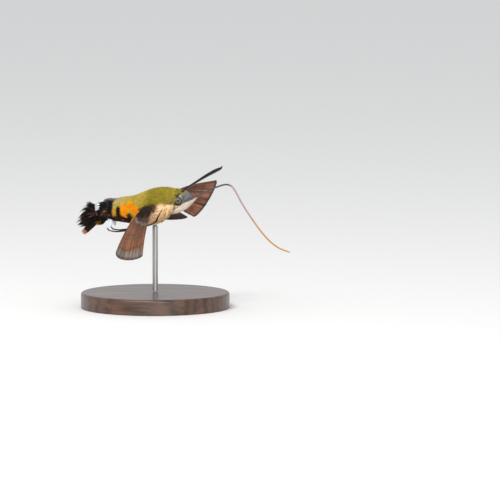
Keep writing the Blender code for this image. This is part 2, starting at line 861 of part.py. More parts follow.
def bundle_of_locks(name, path, radii, count, width, finish, collection, draw):
    """Locks laid side by side round a path, as thick together as its radii."""
    locks = []
    last = len(LOCK_TAPER) - 1
    knots = list(range(len(path)))
    ahead = (path[-1] - path[0]).normalized()
    level = Vector((0, 1, 0))
    for index in range(count):
        angle = math.tau * (index + draw.uniform(-0.1, 0.1)) / count
        reach = (len(path) - 1) * draw.uniform(0.88, 1.0)
        off = level * math.cos(angle) + ahead.cross(level) * math.sin(angle)
        points = []
        for step in range(last + 1):
            place = reach * step / last
            middle = Vector([smooth_through(knots, column, place) for column in zip(*path)])
            points.append(middle + off * smooth_through(knots, radii, place) * BUNDLE_SPREAD)
        locks.append(lock(f"{name}_{index}", points, ahead.cross(off), width, finish, collection))
    return locks


def radii_along(radii, count, grow=0.0, scale=1.0):
    """The radii of a bundle at so many points of its smooth path."""
    knots = list(range(len(radii)))
    return [smooth_through(knots, radii, index / BUNDLE_DETAIL) * scale + grow for index in range(count)]


def make_pencil(collection, rooms):
    """The bundle of long scales that hangs below the fan: a core in its first half, and locks round it."""
    draw = random.Random(7)
    points = [above_floor(point) for point in TAIL_PENCIL]
    path = smooth_path(points, BUNDLE_DETAIL)
    core = path[: len(path) // 2]
    radii = radii_along(TAIL_PENCIL_RADII, len(core), scale=BUNDLE_CORE)
    pencil = tube("tail_pencil", core, radii, "black_fur", collection, resolution=1)
    locks = bundle_of_locks(
        "pencil_lock",
        points,
        TAIL_PENCIL_RADII,
        PENCIL_LOCKS,
        PENCIL_LOCK_WIDTH,
        "black_fur",
        collection,
        draw,
    )
    join_to(pencil, locks)
    cut(pencil, rooms["torso"])


def make_pencil_room(cutters):
    path = smooth_path([above_floor(point) for point in TAIL_PENCIL], BUNDLE_DETAIL)
    radii = radii_along(TAIL_PENCIL_RADII, len(path), grow=LOCK_THICKNESS / 2 + GAP)
    return hide_as_cutter(tube("pencil_room", path, radii, "black_fur", cutters))


def make_fan(collection, rooms):
    """The fan of long scales behind the abdomen: a short core, and tiers of locks one inside the other."""
    draw = random.Random(11)
    core_stations = [
        station._replace(
            half_height=station.half_height * FAN_CORE_DEPTH, half_width=station.half_width * FAN_CORE_DEPTH
        )
        for station in TAIL_FAN
    ]
    core = body_loft(core_stations, TAIL_FAN[0].x, FAN_CORE_END, TORSO_STEP, FAN_CORE_SIDES)
    fan = add_mesh("tail_fan", *core, "black_fur", collection)
    locks = []
    for index, tier in enumerate(FAN_TIERS):
        name = f"fan_lock_{index}"
        locks += tier_of_locks(name, TAIL_FAN, tier, FAN_TOP_SHORTER, "black_fur", collection, draw)
    join_to(fan, locks)
    cut(fan, rooms["torso"], rooms["pencil"])


def make_belly_tufts(collection, draw):
    """A pale tuft below each side of the dark part of the abdomen."""
    locks = []
    for name, side in SIDES.items():
        points = [above_floor(point, side) for point in BELLY_TUFT]
        locks += bundle_of_locks(
            "belly_lock_" + name,
            points,
            BELLY_TUFT_RADII,
            BELLY_LOCKS,
            BELLY_LOCK_WIDTH,
            "cream_fur",
            collection,
            draw,
        )
    return locks


def make_rear_locks(collection, draw):
    """The overlapping tiers of long scales that edge the last rings of the abdomen."""
    locks = []
    for index, tier in enumerate(REAR_TIERS):
        locks += tier_of_locks(f"rear_lock_{index}", TORSO, tier, 0.0, "black_fur", collection, draw)
    return locks


def join_to(item, pieces):
    """Fuses the pieces into the object and removes them."""
    group = bpy.data.collections.new(item.name + " pieces")
    bpy.context.scene.collection.children.link(group)
    for piece in pieces:
        for holder in list(piece.users_collection):
            holder.objects.unlink(piece)
        group.objects.link(piece)
    boolean = item.modifiers.new("join", "BOOLEAN")
    boolean.operation = "UNION"
    boolean.solver = SOLVER
    boolean.operand_type = "COLLECTION"
    boolean.collection = group
    apply_modifiers(item)
    for piece in pieces:
        bpy.data.objects.remove(piece)
    bpy.data.collections.remove(group)
    return item


def make_torso(collection, rooms):
    """The chest and three lengths of the abdomen, parted by thin cuts."""
    half = GAP / 2
    thorax = torso_piece(
        "thorax", TORSO[0].x, WAIST_X + half, "olive_fur", collection, (FRONT_DOME, 0.0)
    )
    cut(thorax, rooms["head"], rooms["eye_left"], rooms["eye_right"])
    torso_piece("abdomen_front", WAIST_X - half, MIDDLE_X + half, "olive_fur", collection)
    torso_piece("abdomen_middle", MIDDLE_X - half, BLACK_X + half, "orange_fur", collection)
    rear = torso_piece(
        "abdomen_rear", BLACK_X - half, TORSO[-1].x, "black_fur", collection, (0.0, REAR_DOME)
    )
    draw = random.Random(5)
    join_to(rear, make_belly_tufts(collection, draw) + make_rear_locks(collection, draw))


def make_stand(collection):
    """A turned base with a softened edge, and a rod up to the chest."""
    profile = [
        (BASE_RADIUS - BASE_EDGE, BASE_HEIGHT),
        (BASE_RADIUS, BASE_HEIGHT - BASE_EDGE),
        (BASE_RADIUS, 0.0),
    ]
    turns = [math.tau * step / BASE_SIDES for step in range(BASE_SIDES)]
    rings = [
        [Vector((radius * math.cos(turn), radius * math.sin(turn), height)) for turn in turns]
        for radius, height in profile
    ]
    add_mesh("stand_base", *loft(rings), "lacquered_wood", collection)
    chest = station_at(TORSO, 0.0)
    top = FLIGHT_HEIGHT + chest.z - chest.half_height - GAP
    path = [Vector((0, 0, BASE_HEIGHT + GAP)), Vector((0, 0, top))]
    tube("stand_rod", path, [ROD_RADIUS] * 2, "rod_metal", collection, resolution=4)


def main():
    clear_scene()
    moth = new_collection("hummingbird hawk moth")
    cutters = new_collection("cutters")
    rooms = make_cutters(cutters)
    rooms["proboscis"] = make_proboscis_room(cutters)
    rooms["pencil"] = make_pencil_room(cutters)
    make_torso(moth, rooms)
    make_head(moth, rooms)
    make_eyes(moth)
    for name, side in SIDES.items():
        make_palp(name, side, moth, rooms)
        make_antenna(name, side, moth, rooms)
    make_proboscis(moth, rooms)
    make_wings(moth, rooms)
    make_legs(moth, rooms)
    make_pencil(moth, rooms)
    make_fan(moth, rooms)
    make_stand(moth)
    cutters.hide_render = True


main()
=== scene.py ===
"""Looks of a life-size hawk moth that hovers on a display stand: its fur, wings, eyes, feelers and the stage.

The moth flies towards +X and its left side is towards +Y. Places on its body are given in millimetres along
X and as a turn in degrees from its back, positive to its left. Sizes in the settings are in metres.
"""

import math

import bmesh
import bpy
import numpy as np
from mathutils import Matrix, Vector


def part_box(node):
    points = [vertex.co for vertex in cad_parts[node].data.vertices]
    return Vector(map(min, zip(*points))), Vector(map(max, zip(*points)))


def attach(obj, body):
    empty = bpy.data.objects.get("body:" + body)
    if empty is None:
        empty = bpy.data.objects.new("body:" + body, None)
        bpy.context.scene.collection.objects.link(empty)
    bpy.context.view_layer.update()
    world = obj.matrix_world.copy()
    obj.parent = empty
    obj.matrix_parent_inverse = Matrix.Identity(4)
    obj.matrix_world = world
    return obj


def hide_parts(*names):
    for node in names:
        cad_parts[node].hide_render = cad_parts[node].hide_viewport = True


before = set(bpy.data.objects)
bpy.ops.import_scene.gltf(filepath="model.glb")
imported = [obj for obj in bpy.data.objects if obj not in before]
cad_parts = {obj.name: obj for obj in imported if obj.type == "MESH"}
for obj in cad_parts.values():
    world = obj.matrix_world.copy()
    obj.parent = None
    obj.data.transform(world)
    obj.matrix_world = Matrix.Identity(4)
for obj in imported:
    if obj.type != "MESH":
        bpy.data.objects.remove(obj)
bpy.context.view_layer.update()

bl_info = {
    "name": "Hovering Hawk Moth",
    "version": (1, 0, 0),
    "blender": (4, 5, 0),
    "location": "3D View > Sidebar > Hawk Moth",
    "description": "Dresses the solids of a hovering hawk moth with fur, scaled wings and a stage",
    "category": "Object",
}

MM = 0.001
FLIGHT_HEIGHT = 26.0
SIDES = {"right": -1, "left": 1}
SQUARENESS = 2.2

# Sections of each body: x, height of its middle, half height, half width, lean of its top to the head
TORSO_SECTIONS = (
    (-14.9, -2.0, 2.05, 2.4, -22),
    (-13.8, -1.45, 2.45, 2.9, -12),
    (-12.2, -1.1, 2.65, 3.4, -2),
    (-10.2, -1.08, 2.92, 3.8, 0),
    (-8.3, -1.0, 3.25, 4.05, 0),
    (-5.5, -1.0, 3.65, 4.15, 0),
    (-3.3, -0.78, 4.25, 4.2, 0),
    (-1.3, -0.35, 4.65, 4.4, 0),
    (1.2, 0.2, 4.75, 4.35, 6),
    (3.6, 0.6, 4.3, 3.95, 17),
    (5.3, 0.95, 3.35, 3.05, 30),
)
HEAD_SECTIONS = (
    (4.7, 0.9, 1.3, 1.3, 0),
    (5.6, 1.25, 1.95, 2.1, 0),
    (6.8, 1.72, 2.2, 2.4, 0),
    (7.9, 2.12, 1.78, 2.0, 0),
    (8.7, 2.4, 1.2, 1.35, 0),
)
PALP_SECTIONS = (
    (5.4, -0.95, 0.65, 0.75, 0),
    (6.6, -0.35, 0.95, 0.95, 0),
    (7.8, 0.6, 1.35, 0.9, 0),
    (9.0, 1.35, 1.15, 0.72, 0),
    (10.0, 2.0, 0.72, 0.5, 0),
    (10.8, 2.5, 0.28, 0.25, 0),
)
PALP_SPREAD = (1.25, 1.2, 1.05, 0.87, 0.7, 0.58)
FAN_SECTIONS = (
    (-19.2, -4.0, 1.6, 4.1, -12),
    (-17.9, -3.05, 2.3, 3.9, -14),
    (-16.4, -2.35, 2.5, 3.1, -17),
    (-14.7, -2.0, 2.0, 2.2, -21),
)

EYE_CENTRE = (6.43, 1.95, 1.6)
EYE_RADII = (1.15, 0.95, 1.15)
ANTENNA_ROOT = (6.75, 1.0, 3.0)
ANTENNA_TIPS = {"right": (18.35, -2.6, 10.5), "left": (16.9, 4.2, 9.8)}
ANTENNA_BOW = 0.75
ANTENNA_BOW_REACHED = 0.15
TONGUE_COURSE = (
    (8.0, 1.5), (8.6, 1.75), (9.7, 2.25), (10.8, 2.77), (13.4, 4.0), (15.6, 5.0), (18.0, 5.8),
    (19.4, 5.72), (20.4, 5.0), (21.6, 3.05), (22.7, 1.05), (24.3, -1.4), (26.2, -4.1),
    (28.0, -6.4), (29.8, -8.3), (31.5, -9.6), (33.0, -10.4), (35.2, -11.1),
)
PENCIL_COURSE = ((-14.4, 0.0, -3.1), (-16.3, 0.0, -4.75), (-17.8, 0.0, -6.2), (-19.1, 0.0, -7.45))
UNDER_COURSE = ((-12.9, 0.0, -3.3), (-14.2, 0.0, -4.35), (-15.9, 0.0, -5.15))
UNDER_RADII = (0.5, 0.75, 0.3)
PENCIL_RADII = (0.6, 0.82, 0.8, 0.62)
BELLY_TUFT_COURSE = ((-11.6, 1.7, -2.6), (-11.15, 1.95, -4.5), (-10.95, 2.0, -5.55))
BELLY_TUFT_RADII = (0.55, 0.48, 0.1)

WING_ROOT = (0.6, 3.2, 1.0)
HINDWING_SETBACK = 1.9
HINDWING_UNDER = 1.0
FOREWING = {
    "root_chord": 2.3, "apex": (19.6, 0.1), "apex_handle": (22.0, 1.3), "margin_handle": (18.4, 8.8),
    "tornus": (13.6, 9.3), "costa_bow": 0.2, "dorsum_bow": -0.5, "camber": 0.6, "arch": 1.2, "veins": 8,
}
HINDWING = {
    "root_chord": 1.8, "apex": (10.4, 0.5), "apex_handle": (12.8, 2.4), "margin_handle": (9.6, 6.8),
    "tornus": (4.9, 5.4), "costa_bow": 0.4, "dorsum_bow": 0.4, "camber": 0.4, "arch": 0.4, "veins": 6,
}
# Sweep to the head, lift, pitch of the trailing edge at the root and at the tip
FOREWING_POSES = {"left": (35.5, 12.5, 25.0, 66.0), "right": (2.3, -36.9, 18.0, 27.0)}
HINDWING_POSES = {"left": (38.0, -16.0, 20.0, 22.0), "right": (2.0, -38.0, 20.0, 24.0)}
CELL_END = 0.52

# Joints of the folded legs: place along the torso and degrees below its side
FORELEG = ((4.3, 64), (4.9, 26), (3.7, 56), (2.9, 79))
MIDLEG = ((2.0, 58), (3.6, 6), (1.3, 52), (-1.6, 68))
HINDLEG_HIP = (-1.9, 50)
HINDLEG_COURSE = (
    (-3.3, 2.5, -5.9), (-6.6, 2.3, -6.15), (-9.5, 2.1, -6.5), (-11.3, 2.0, -6.35), (-11.9, 2.0, -5.95)
)

# Camera: view angles in degrees, width of the picture, and the picture's middle from the chest's
VIEW_AZIMUTH = 12.0
VIEW_ELEVATION = 6.0
PICTURE_WIDTH = 127.5
PICTURE_OFFSET = (24.2, -11.2)
CAMERA_DISTANCE = 1200.0


def length(name, description, default):
    """A size property in metres."""
    return bpy.props.FloatProperty(
        name=name, description=description, default=default, min=0.0, unit="LENGTH", precision=6
    )


def colour(name, description, default):
    """A linear colour property."""
    return bpy.props.FloatVectorProperty(
        name=name, description=description, default=default, size=3, min=0.0, max=1.0, subtype="COLOR"
    )


class CoatSizes(bpy.types.PropertyGroup):
    """Depths and lengths of the fur."""

    body_depth: length("Coat depth", "Depth of the coat over the chest and abdomen", 0.00045)
    head_depth: length("Head coat depth", "Depth of the coat over the head", 0.00025)
    palp_depth: length("Palp coat depth", "Depth of the coat over the palps", 0.00016)
    chest_hair: length("Chest hair", "Length of the hair on the chest", 0.0017)
    belly_hair: length("Breast hair", "Length of the hair under the chest", 0.0014)
    abdomen_scale: length("Abdomen scales", "Length of the scales on the abdomen", 0.00095)
    head_hair: length("Head hair", "Length of the hair on the head", 0.0007)
    hair_width: length("Hair width", "Width of a tuft of chest hair", 0.00015)
    scale_width: length("Scale width", "Width of a tuft of abdomen scales", 0.0002)
    density: bpy.props.FloatProperty(
        name="Density", description="Share of the full number of tufts", default=1.0, min=0.05, max=2.0
    )


class WingSizes(bpy.types.PropertyGroup):
    """Thickness of the wings, their veins and fringes."""

    thickness: length("Membrane", "Thickness of the wing's membrane", 0.00010)
    vein: length("Vein radius", "Radius of a main vein at the root", 0.00013)
    fringe: length("Fringe", "Length of the scales along the outer margin", 0.0005)


class MothColours(bpy.types.PropertyGroup):
    """Colours of the fur, wings and other parts."""

    olive: colour("Olive", "Fur on the sides of the chest", (0.27, 0.21, 0.02))
    # Gold is a painted highlight: the top of the back painted lighter where the light falls on it.
    highlight_gold: colour("Gold", "Fur along the middle of the back", (0.34, 0.275, 0.03))
    khaki: colour("Khaki", "Scales on the front of the abdomen", (0.56, 0.42, 0.066))
    cream: colour("Cream", "Pale scales on the abdomen's back", (0.56, 0.45, 0.18))
    orange: colour("Orange", "The patches on the abdomen's sides", (0.86, 0.3, 0.002))
    black: colour("Black", "The last rings of the abdomen and the tail", (0.006, 0.0055, 0.006))
    soot: colour("Soot", "Black scales with a brown cast", (0.022, 0.013, 0.008))
    # Lilac is a painted sheen: a painted reflection along the top of the last rings, and a painted highlight on the
    # front of the face and the tips of the palps.
    lilac_sheen: colour("Lilac", "Grey sheen on the back of the last rings", (0.2, 0.18, 0.22))
    white: colour("White", "White tufts of the tail and the belly", (0.93, 0.96, 1.0))
    peach: colour("Peach", "Fur under the chest", (0.94, 0.66, 0.4))
    # Fawn is painted shade along the bottom of the chest; the fore and middle legs take it as their own colour.
    fawn: colour("Fawn", "Shaded fur below the peach", (0.74, 0.52, 0.26))
    chestnut: colour("Chestnut", "The abdomen's underside", (0.062, 0.011, 0.002))
    salmon: colour("Salmon", "Pink-brown spots and the tip of the pencil", (0.5, 0.2, 0.11))
    straw: colour("Straw", "Short hair between the feelers", (0.29, 0.25, 0.105))
    grey: colour("Grey", "Face and upper edge of the palps", (0.14, 0.135, 0.15))
    frost: colour("Frost", "Whitish band over the eyes", (0.36, 0.365, 0.38))
    ivory: colour("Ivory", "Lower part of the palps", (0.78, 0.66, 0.52))
    rust: colour("Rust", "Middle of the wings", (0.21, 0.078, 0.036))
    russet: colour("Russet", "Underside of the forewings", (0.3, 0.12, 0.065))
    umber: colour("Umber", "Root and bands of the wings", (0.03, 0.018, 0.012))
    ash: colour("Ash", "Outer margin of the wings", (0.17, 0.135, 0.115))
    tangerine: colour("Tangerine", "Hindwings", (0.8, 0.3, 0.012))
    feeler: colour("Feeler", "Upper side of the antennae", (0.008, 0.007, 0.008))
    feeler_pale: colour("Feeler below", "Underside of the antennae", (0.26, 0.2, 0.17))
    tongue_base: colour("Tongue base", "Base of the proboscis", (0.085, 0.08, 0.1))
    # Tongue highlight: a painted highlight on the side of the proboscis facing forward and up, past its bend.
    tongue_highlight: colour("Tongue sheen", "Pale side of the proboscis past its bend", (0.42, 0.32, 0.31))
    tongue: colour("Tongue", "The rest of the proboscis", (0.55, 0.26, 0.04))
    leg: colour("Leg", "Scales of the hind legs", (0.05, 0.032, 0.02))
    eye: colour("Eye", "Pale ring of the eyes", (0.17, 0.148, 0.058))


class StageSettings(bpy.types.PropertyGroup):
    """Floor and lights."""

    floor: colour("Floor", "Floor under the stand", (0.8, 0.8, 0.79))
    key_power: bpy.props.FloatProperty(
        name="Key light", description="Power of the main light", default=2.6, min=0.0, unit="POWER"
    )
    fill_power: bpy.props.FloatProperty(
        name="Fill light", description="Power of the fill light", default=2.4, min=0.0, unit="POWER"
    )
    sky: bpy.props.FloatProperty(
        name="Sky", description="Strength of the even light all round", default=0.8, min=0.0
    )


class MothSettings(bpy.types.PropertyGroup):
    """All sizes and colours of the moth."""

    coat: bpy.props.PointerProperty(type=CoatSizes)
    wings: bpy.props.PointerProperty(type=WingSizes)
    colours: bpy.props.PointerProperty(type=MothColours)
    stage: bpy.props.PointerProperty(type=StageSettings)


def settings():
    return bpy.context.scene.hawk_moth


def shade_of(name):
    """A colour of the settings with full alpha."""
    return (*getattr(settings().colours, name), 1.0)


# Smooth curves and bodies


def smooth(knots, columns, places):
    """Rows of values at places, on smooth curves through rows of values at rising knots."""
    knots = np.asarray(knots, float)
    columns = np.asarray(columns, float)
    places = np.clip(np.asarray(places, float), knots[0], knots[-1])
    last = len(knots) - 1
    before = np.maximum(np.arange(last + 1) - 1, 0)
    after = np.minimum(np.arange(last + 1) + 1, last)
    slopes = (columns[after] - columns[before]) / (knots[after] - knots[before])[:, None]
    index = np.clip(np.searchsorted(knots, places, side="right") - 1, 0, last - 1)
    width = (knots[index + 1] - knots[index])[:, None]
    share = (places - knots[index])[:, None] / width
    square, cube = share**2, share**3
    return (
        (2 * cube - 3 * square + 1) * columns[index]
        + (cube - 2 * square + share) * width * slopes[index]
        + (3 * square - 2 * cube) * columns[index + 1]
        + (cube - square) * width * slopes[index + 1]
    )


def unit(vectors):
    return vectors / np.maximum(np.linalg.norm(vectors, axis=-1, keepdims=True), 1e-9)


def signed_power(values, power):
    return np.sign(values) * np.abs(values) ** power


class Body:
    """A rounded body with sections along x. point gives places on it, in millimetres above the floor."""

    def __init__(self, sections, front_dome, rear_dome, spread=None, side=0):
        self.knots = [section[0] for section in sections]
        self.columns = [section[1:] for section in sections]
        self.front_dome = front_dome
        self.rear_dome = rear_dome
        self.spread = [[value] for value in spread] if spread else [[0.0]] * len(sections)
        self.side = side

    def point(self, x, turn, inset=0.0, depth=1.0):
        """Places at x and a turn from the back, sunk by an inset, or at a depth of 0 to 1 from the middle."""
        x, turn, inset, depth = np.broadcast_arrays(
            *(np.asarray(each, float) for each in (x, turn, inset, depth))
        )
        shape = x.shape
        x, turn, inset, depth = (each.ravel() for each in (x, turn, inset, depth))
        middle, height, width, lean = smooth(self.knots, self.columns, x).T
        shift = smooth(self.knots, self.spread, x)[:, 0] * self.side
        ahead = np.clip((x - self.knots[-1]) / self.front_dome, 0, 1)
        behind = np.clip((self.knots[0] - x) / self.rear_dome, 0, 1)
        closing = np.sqrt(1 - np.maximum(ahead, behind) ** 2)
        forward = ahead * (self.front_dome - inset) - behind * (self.rear_dome - inset)
        angle = np.radians(turn)
        across = signed_power(np.sin(angle), 2 / SQUARENESS) * (width - inset) * closing * depth + shift
        up = signed_power(np.cos(angle), 2 / SQUARENESS) * (height - inset) * closing * depth
        lean = np.radians(lean)
        base = np.clip(x, self.knots[0], self.knots[-1])
        found = np.stack(
            [
                base + up * np.sin(lean) + forward * np.cos(lean),
                across,
                middle + FLIGHT_HEIGHT + up * np.cos(lean) - forward * np.sin(lean),
            ],
            axis=-1,
        )
        return found.reshape(*shape, 3)

    def slopes(self, x, turn):
        """How the place moves with x and with the turn."""
        step, degrees = 0.02, 0.5
        along = (self.point(x + step, turn) - self.point(x - step, turn)) / (2 * step)
        round_it = (self.point(x, turn + degrees) - self.point(x, turn - degrees)) / (2 * degrees)
        return along, round_it

    def normal(self, x, turn):
        along, round_it = self.slopes(x, turn)
        return unit(np.cross(along, round_it))

    def holds(self, points, inset):
        """Which of the points lie deeper in the body than the inset."""
        middle, height, width, lean = smooth(self.knots, self.columns, points[:, 0]).T
        shift = smooth(self.knots, self.spread, points[:, 0])[:, 0] * self.side
        across = np.abs(points[:, 1] - shift) / (width - inset)
        up = np.abs(points[:, 2] - middle - FLIGHT_HEIGHT) / (height - inset)
        within = (points[:, 0] > self.knots[0]) & (points[:, 0] < self.knots[-1])
        return within & (across**2 + up**2 < 1)


TORSO = Body(TORSO_SECTIONS, 0.9, 0.7)
HEAD = Body(HEAD_SECTIONS, 0.5, 0.7)
FAN = Body(FAN_SECTIONS, 0.4, 0.8)
FAN_HAIR = Body(((-20.8, -4.75, 1.35, 4.2, -12),) + FAN_SECTIONS, 0.4, 0.3)
PALPS = {name: Body(PALP_SECTIONS, 0.2, 0.3, PALP_SPREAD, side) for name, side in SIDES.items()}


def wrapped(turn):
    """The same turn between -180 and 180 degrees."""
    return (turn + 180) % 360 - 180


def even_series(count, seed):
    """Two series of numbers from 0 to 1 that fill a square evenly."""
    steps = np.arange(count) + 100 * seed + 1
    return (0.5 + 0.7548776662 * steps) % 1.0, (0.5 + 0.5698402910 * steps) % 1.0


def scatter(body, x_span, turn_span, per_area, seed):
    """Even places over part of a body, so many for each square millimetre."""
    first, second = even_series(3000, seed)
    x = x_span[0] + (x_span[1] - x_span[0]) * first
    turn = turn_span[0] + (turn_span[1] - turn_span[0]) * second
    room = np.linalg.norm(np.cross(*body.slopes(x, turn)), axis=-1)
    densest = np.percentile(room, 99.5)
    whole = (x_span[1] - x_span[0]) * (turn_span[1] - turn_span[0])
    count = int(per_area * settings().coat.density * densest * whole)
    first, second = even_series(count, seed)
    x = x_span[0] + (x_span[1] - x_span[0]) * first
    turn = turn_span[0] + (turn_span[1] - turn_span[0]) * second
    room = np.linalg.norm(np.cross(*body.slopes(x, turn)), axis=-1)
    kept = np.random.default_rng(seed).random(count) * densest < room
    return x[kept], wrapped(turn[kept])


def waves(x, turn, seed):
    """A slow random field from -1 to 1 over a body."""
    draw = np.random.default_rng(seed)
    total = np.zeros_like(x)
    for size in (0.9, 1.7, 3.1):
        heading, phase = draw.uniform(0, math.tau, 2)
        total += np.sin(size * (x * math.cos(heading) + turn * 0.07 * math.sin(heading)) + phase)
        heading, phase = draw.uniform(0, math.tau, 2)
        total += np.sin(size * 1.3 * (x * math.cos(heading) + turn * 0.07 * math.sin(heading)) + phase)
    return total / 6


# Meshes


def finish_piece(name, mesh, materials, replaced=()):
    """Links a finished mesh as a piece that rides on the body."""
    for material in materials:
        mesh.materials.append(material)
    piece = bpy.data.objects.new(name, mesh)
    bpy.context.scene.collection.objects.link(piece)
    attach(piece, "root")
    if replaced:
        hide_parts(*replaced)
    return piece


def bmesh_to_mesh(shape, name):
    bmesh.ops.recalc_face_normals(shape, faces=shape.faces)
    mesh = bpy.data.meshes.new(name)
    shape.to_mesh(mesh)
    shape.free()
    mesh.shade_smooth()
    return mesh


def shaped_grid(shape, columns, rows, place):
    """A sheet bent over a surface: place maps arrays of column and row shares to points in millimetres."""
    layer = shape.loops.layers.uv.get("UVMap") or shape.loops.layers.uv.new("UVMap")
    made = bmesh.ops.create_grid(
        shape, x_segments=columns, y_segments=rows, size=1.0, calc_uvs=True
    )["verts"]
    shares = np.array([((vert.co.x + 1) / 2, (vert.co.y + 1) / 2) for vert in made])
    for vert in made:
        for loop in vert.link_loops:
            loop[layer].uv = ((vert.co.x + 1) / 2, (vert.co.y + 1) / 2)
    for vert, point in zip(made, place(shares[:, 0], shares[:, 1])):
        vert.co = Vector(point) * MM
    return made


def close_tube(shape, made):
    """Welds the seam of a sheet bent round into a tube and fills its two ends."""
    bmesh.ops.remove_doubles(shape, verts=made, dist=1e-7)
    left = [vert for vert in made if vert.is_valid]
    edges = {edge for vert in left for edge in vert.link_edges if edge.is_boundary}
    bmesh.ops.holes_fill(shape, edges=list(edges), sides=0)


def add_tube(shape, path, radii, sides):
    """A closed round tube through a path of points, with a radius at each."""
    path = np.asarray(path, float)
    radii = np.asarray(radii, float)
    ahead = unit(np.gradient(path, axis=0))
    across = unit(np.cross(ahead, steady_axis(ahead)))
    over = np.cross(across, ahead)
    rows = len(path) - 1

    def place(column, row):
        index = np.rint(row * rows).astype(int)
        angle = column * math.tau
        ring = across[index] * np.cos(angle)[:, None] + over[index] * np.sin(angle)[:, None]
        return path[index] + ring * radii[index][:, None]

    close_tube(shape, shaped_grid(shape, sides, rows, place))


def steady_axis(ahead):
    """An axis that is never in line with a path that runs ahead: the one its steps use least."""
    return np.eye(3)[np.argmin(np.abs(ahead).max(axis=0))]


def mesh_from_arrays(name, points, corners, sizes):
    """A mesh from its points in millimetres and its faces' corners."""
    mesh = bpy.data.meshes.new(name)
    mesh.vertices.add(len(points))
    mesh.vertices.foreach_set("co", (points * MM).astype(np.float32).ravel())
    mesh.loops.add(len(corners))
    mesh.loops.foreach_set("vertex_index", corners.astype(np.int32))
    starts = np.concatenate([[0], np.cumsum(sizes)[:-1]]).astype(np.int32)
    mesh.polygons.add(len(sizes))
    mesh.polygons.foreach_set("loop_start", starts)
    mesh.polygons.foreach_set("use_smooth", np.ones(len(sizes), bool))
    mesh.update(calc_edges=True)
    return mesh


class Tufts:
    """Tufts gathered for one coat piece: their courses, widths, and what colours them."""

    def __init__(self, rows):
        self.rows = rows
        self.parts = []

    def add(self, paths, widths, ups, places, maps, seed):
        """Tufts with courses from root to tip, widths, outward directions, and body places and map places."""
        shades = np.random.default_rng(seed).random(len(paths))
        self.parts.append((paths, widths, ups, places, maps, shades))

    def mesh(self, name, taper, flatness):
        """All tufts as three-sided blades, with the map, place and shade of each."""
        paths, widths, ups, places, maps, shades = (np.concatenate(each) for each in zip(*self.parts))
        count, rows = paths.shape[:2]
        ahead = unit(np.gradient(paths, axis=1))
        across = unit(np.cross(ahead, ups[:, None, :]))
        over = np.cross(across, ahead)
        half = (widths[:, None] * np.asarray(taper)[None, :] / 2)[:, :, None]
        left = paths - across * half
        right = paths + across * half
        crest = paths + over * half * 2 * flatness
        rings = np.stack([left, crest, right], axis=2)
        points = np.concatenate([rings[:, :-1].reshape(count, -1, 3), paths[:, -1:]], axis=1)
        corners, sizes = blade_faces(rows)
        per = points.shape[1]
        all_corners = (corners[None, :] + per * np.arange(count)[:, None]).ravel()
        mesh = mesh_from_arrays(name, points.reshape(-1, 3), all_corners, np.tile(sizes, count))
        share = np.append(np.repeat(np.arange(rows - 1), 3), rows - 1) / (rows - 1)
        side = np.append(np.tile([-0.5, 0.0, 0.5], rows - 1), 0.0)
        self.write_places(mesh, places, shades, share)
        offsets = np.stack([side, share - 0.5], axis=-1) * 0.003
        maps = (maps[:, None, :] + offsets[None, :, :]).reshape(-1, 2)
        layer = mesh.uv_layers.new(name="OFBake")
        layer.uv.foreach_set("vector", maps[all_corners].astype(np.float32).ravel())
        return mesh

    def write_places(self, mesh, places, shades, share):
        """The body place of each tuft's root with the share of its length, and its own shade."""
        count, per = len(places), len(share)
        place = np.zeros((count, per, 3), np.float32)
        place[:, :, 0] = places[:, None, 0]
        place[:, :, 1] = np.abs(places[:, None, 1])
        place[:, :, 2] = share[None, :]
        mesh.attributes.new("place", "FLOAT_VECTOR", "POINT").data.foreach_set("vector", place.ravel())
        shade = np.repeat(shades, per).astype(np.float32)
        mesh.attributes.new("shade", "FLOAT", "POINT").data.foreach_set("value", shade)


def blade_faces(rows):
    """Corners and sizes of the faces of one blade: rows of three points, and a tip."""
    corners = [0, 1, 2]
    sizes = [3]
    for row in range(rows - 2):
        for side in range(3):
            here, after = row * 3 + side, row * 3 + (side + 1) % 3
            corners += [here, here + 3, after + 3, after]
            sizes.append(4)
    last = (rows - 2) * 3
    tip = last + 3
    for side in range(3):
        corners += [last + side, tip, last + (side + 1) % 3]
        sizes.append(3)
    return np.array(corners), np.array(sizes)


# Maps of the body: each part has a band of its own, unrolled from the belly

MAP_BANDS = {"torso": (0.02, 0.56), "head": (0.6, 0.18), "left": (0.81, 0.08), "right": (0.91, 0.08)}
MAP_SPANS = {"torso": (-20.5, 6.5), "head": (4.0, 9.3), "left": (5.0, 11.2), "right": (5.0, 11.2)}


def map_place(part, x, turn):
    """Where a place of a part lies on the map of the skin."""
    start, height = MAP_BANDS[part]
    low, high = MAP_SPANS[part]
    across = 0.5 + 0.47 * turn / 180
    return np.stack([across, start + height * (x - low) / (high - low)], axis=-1)


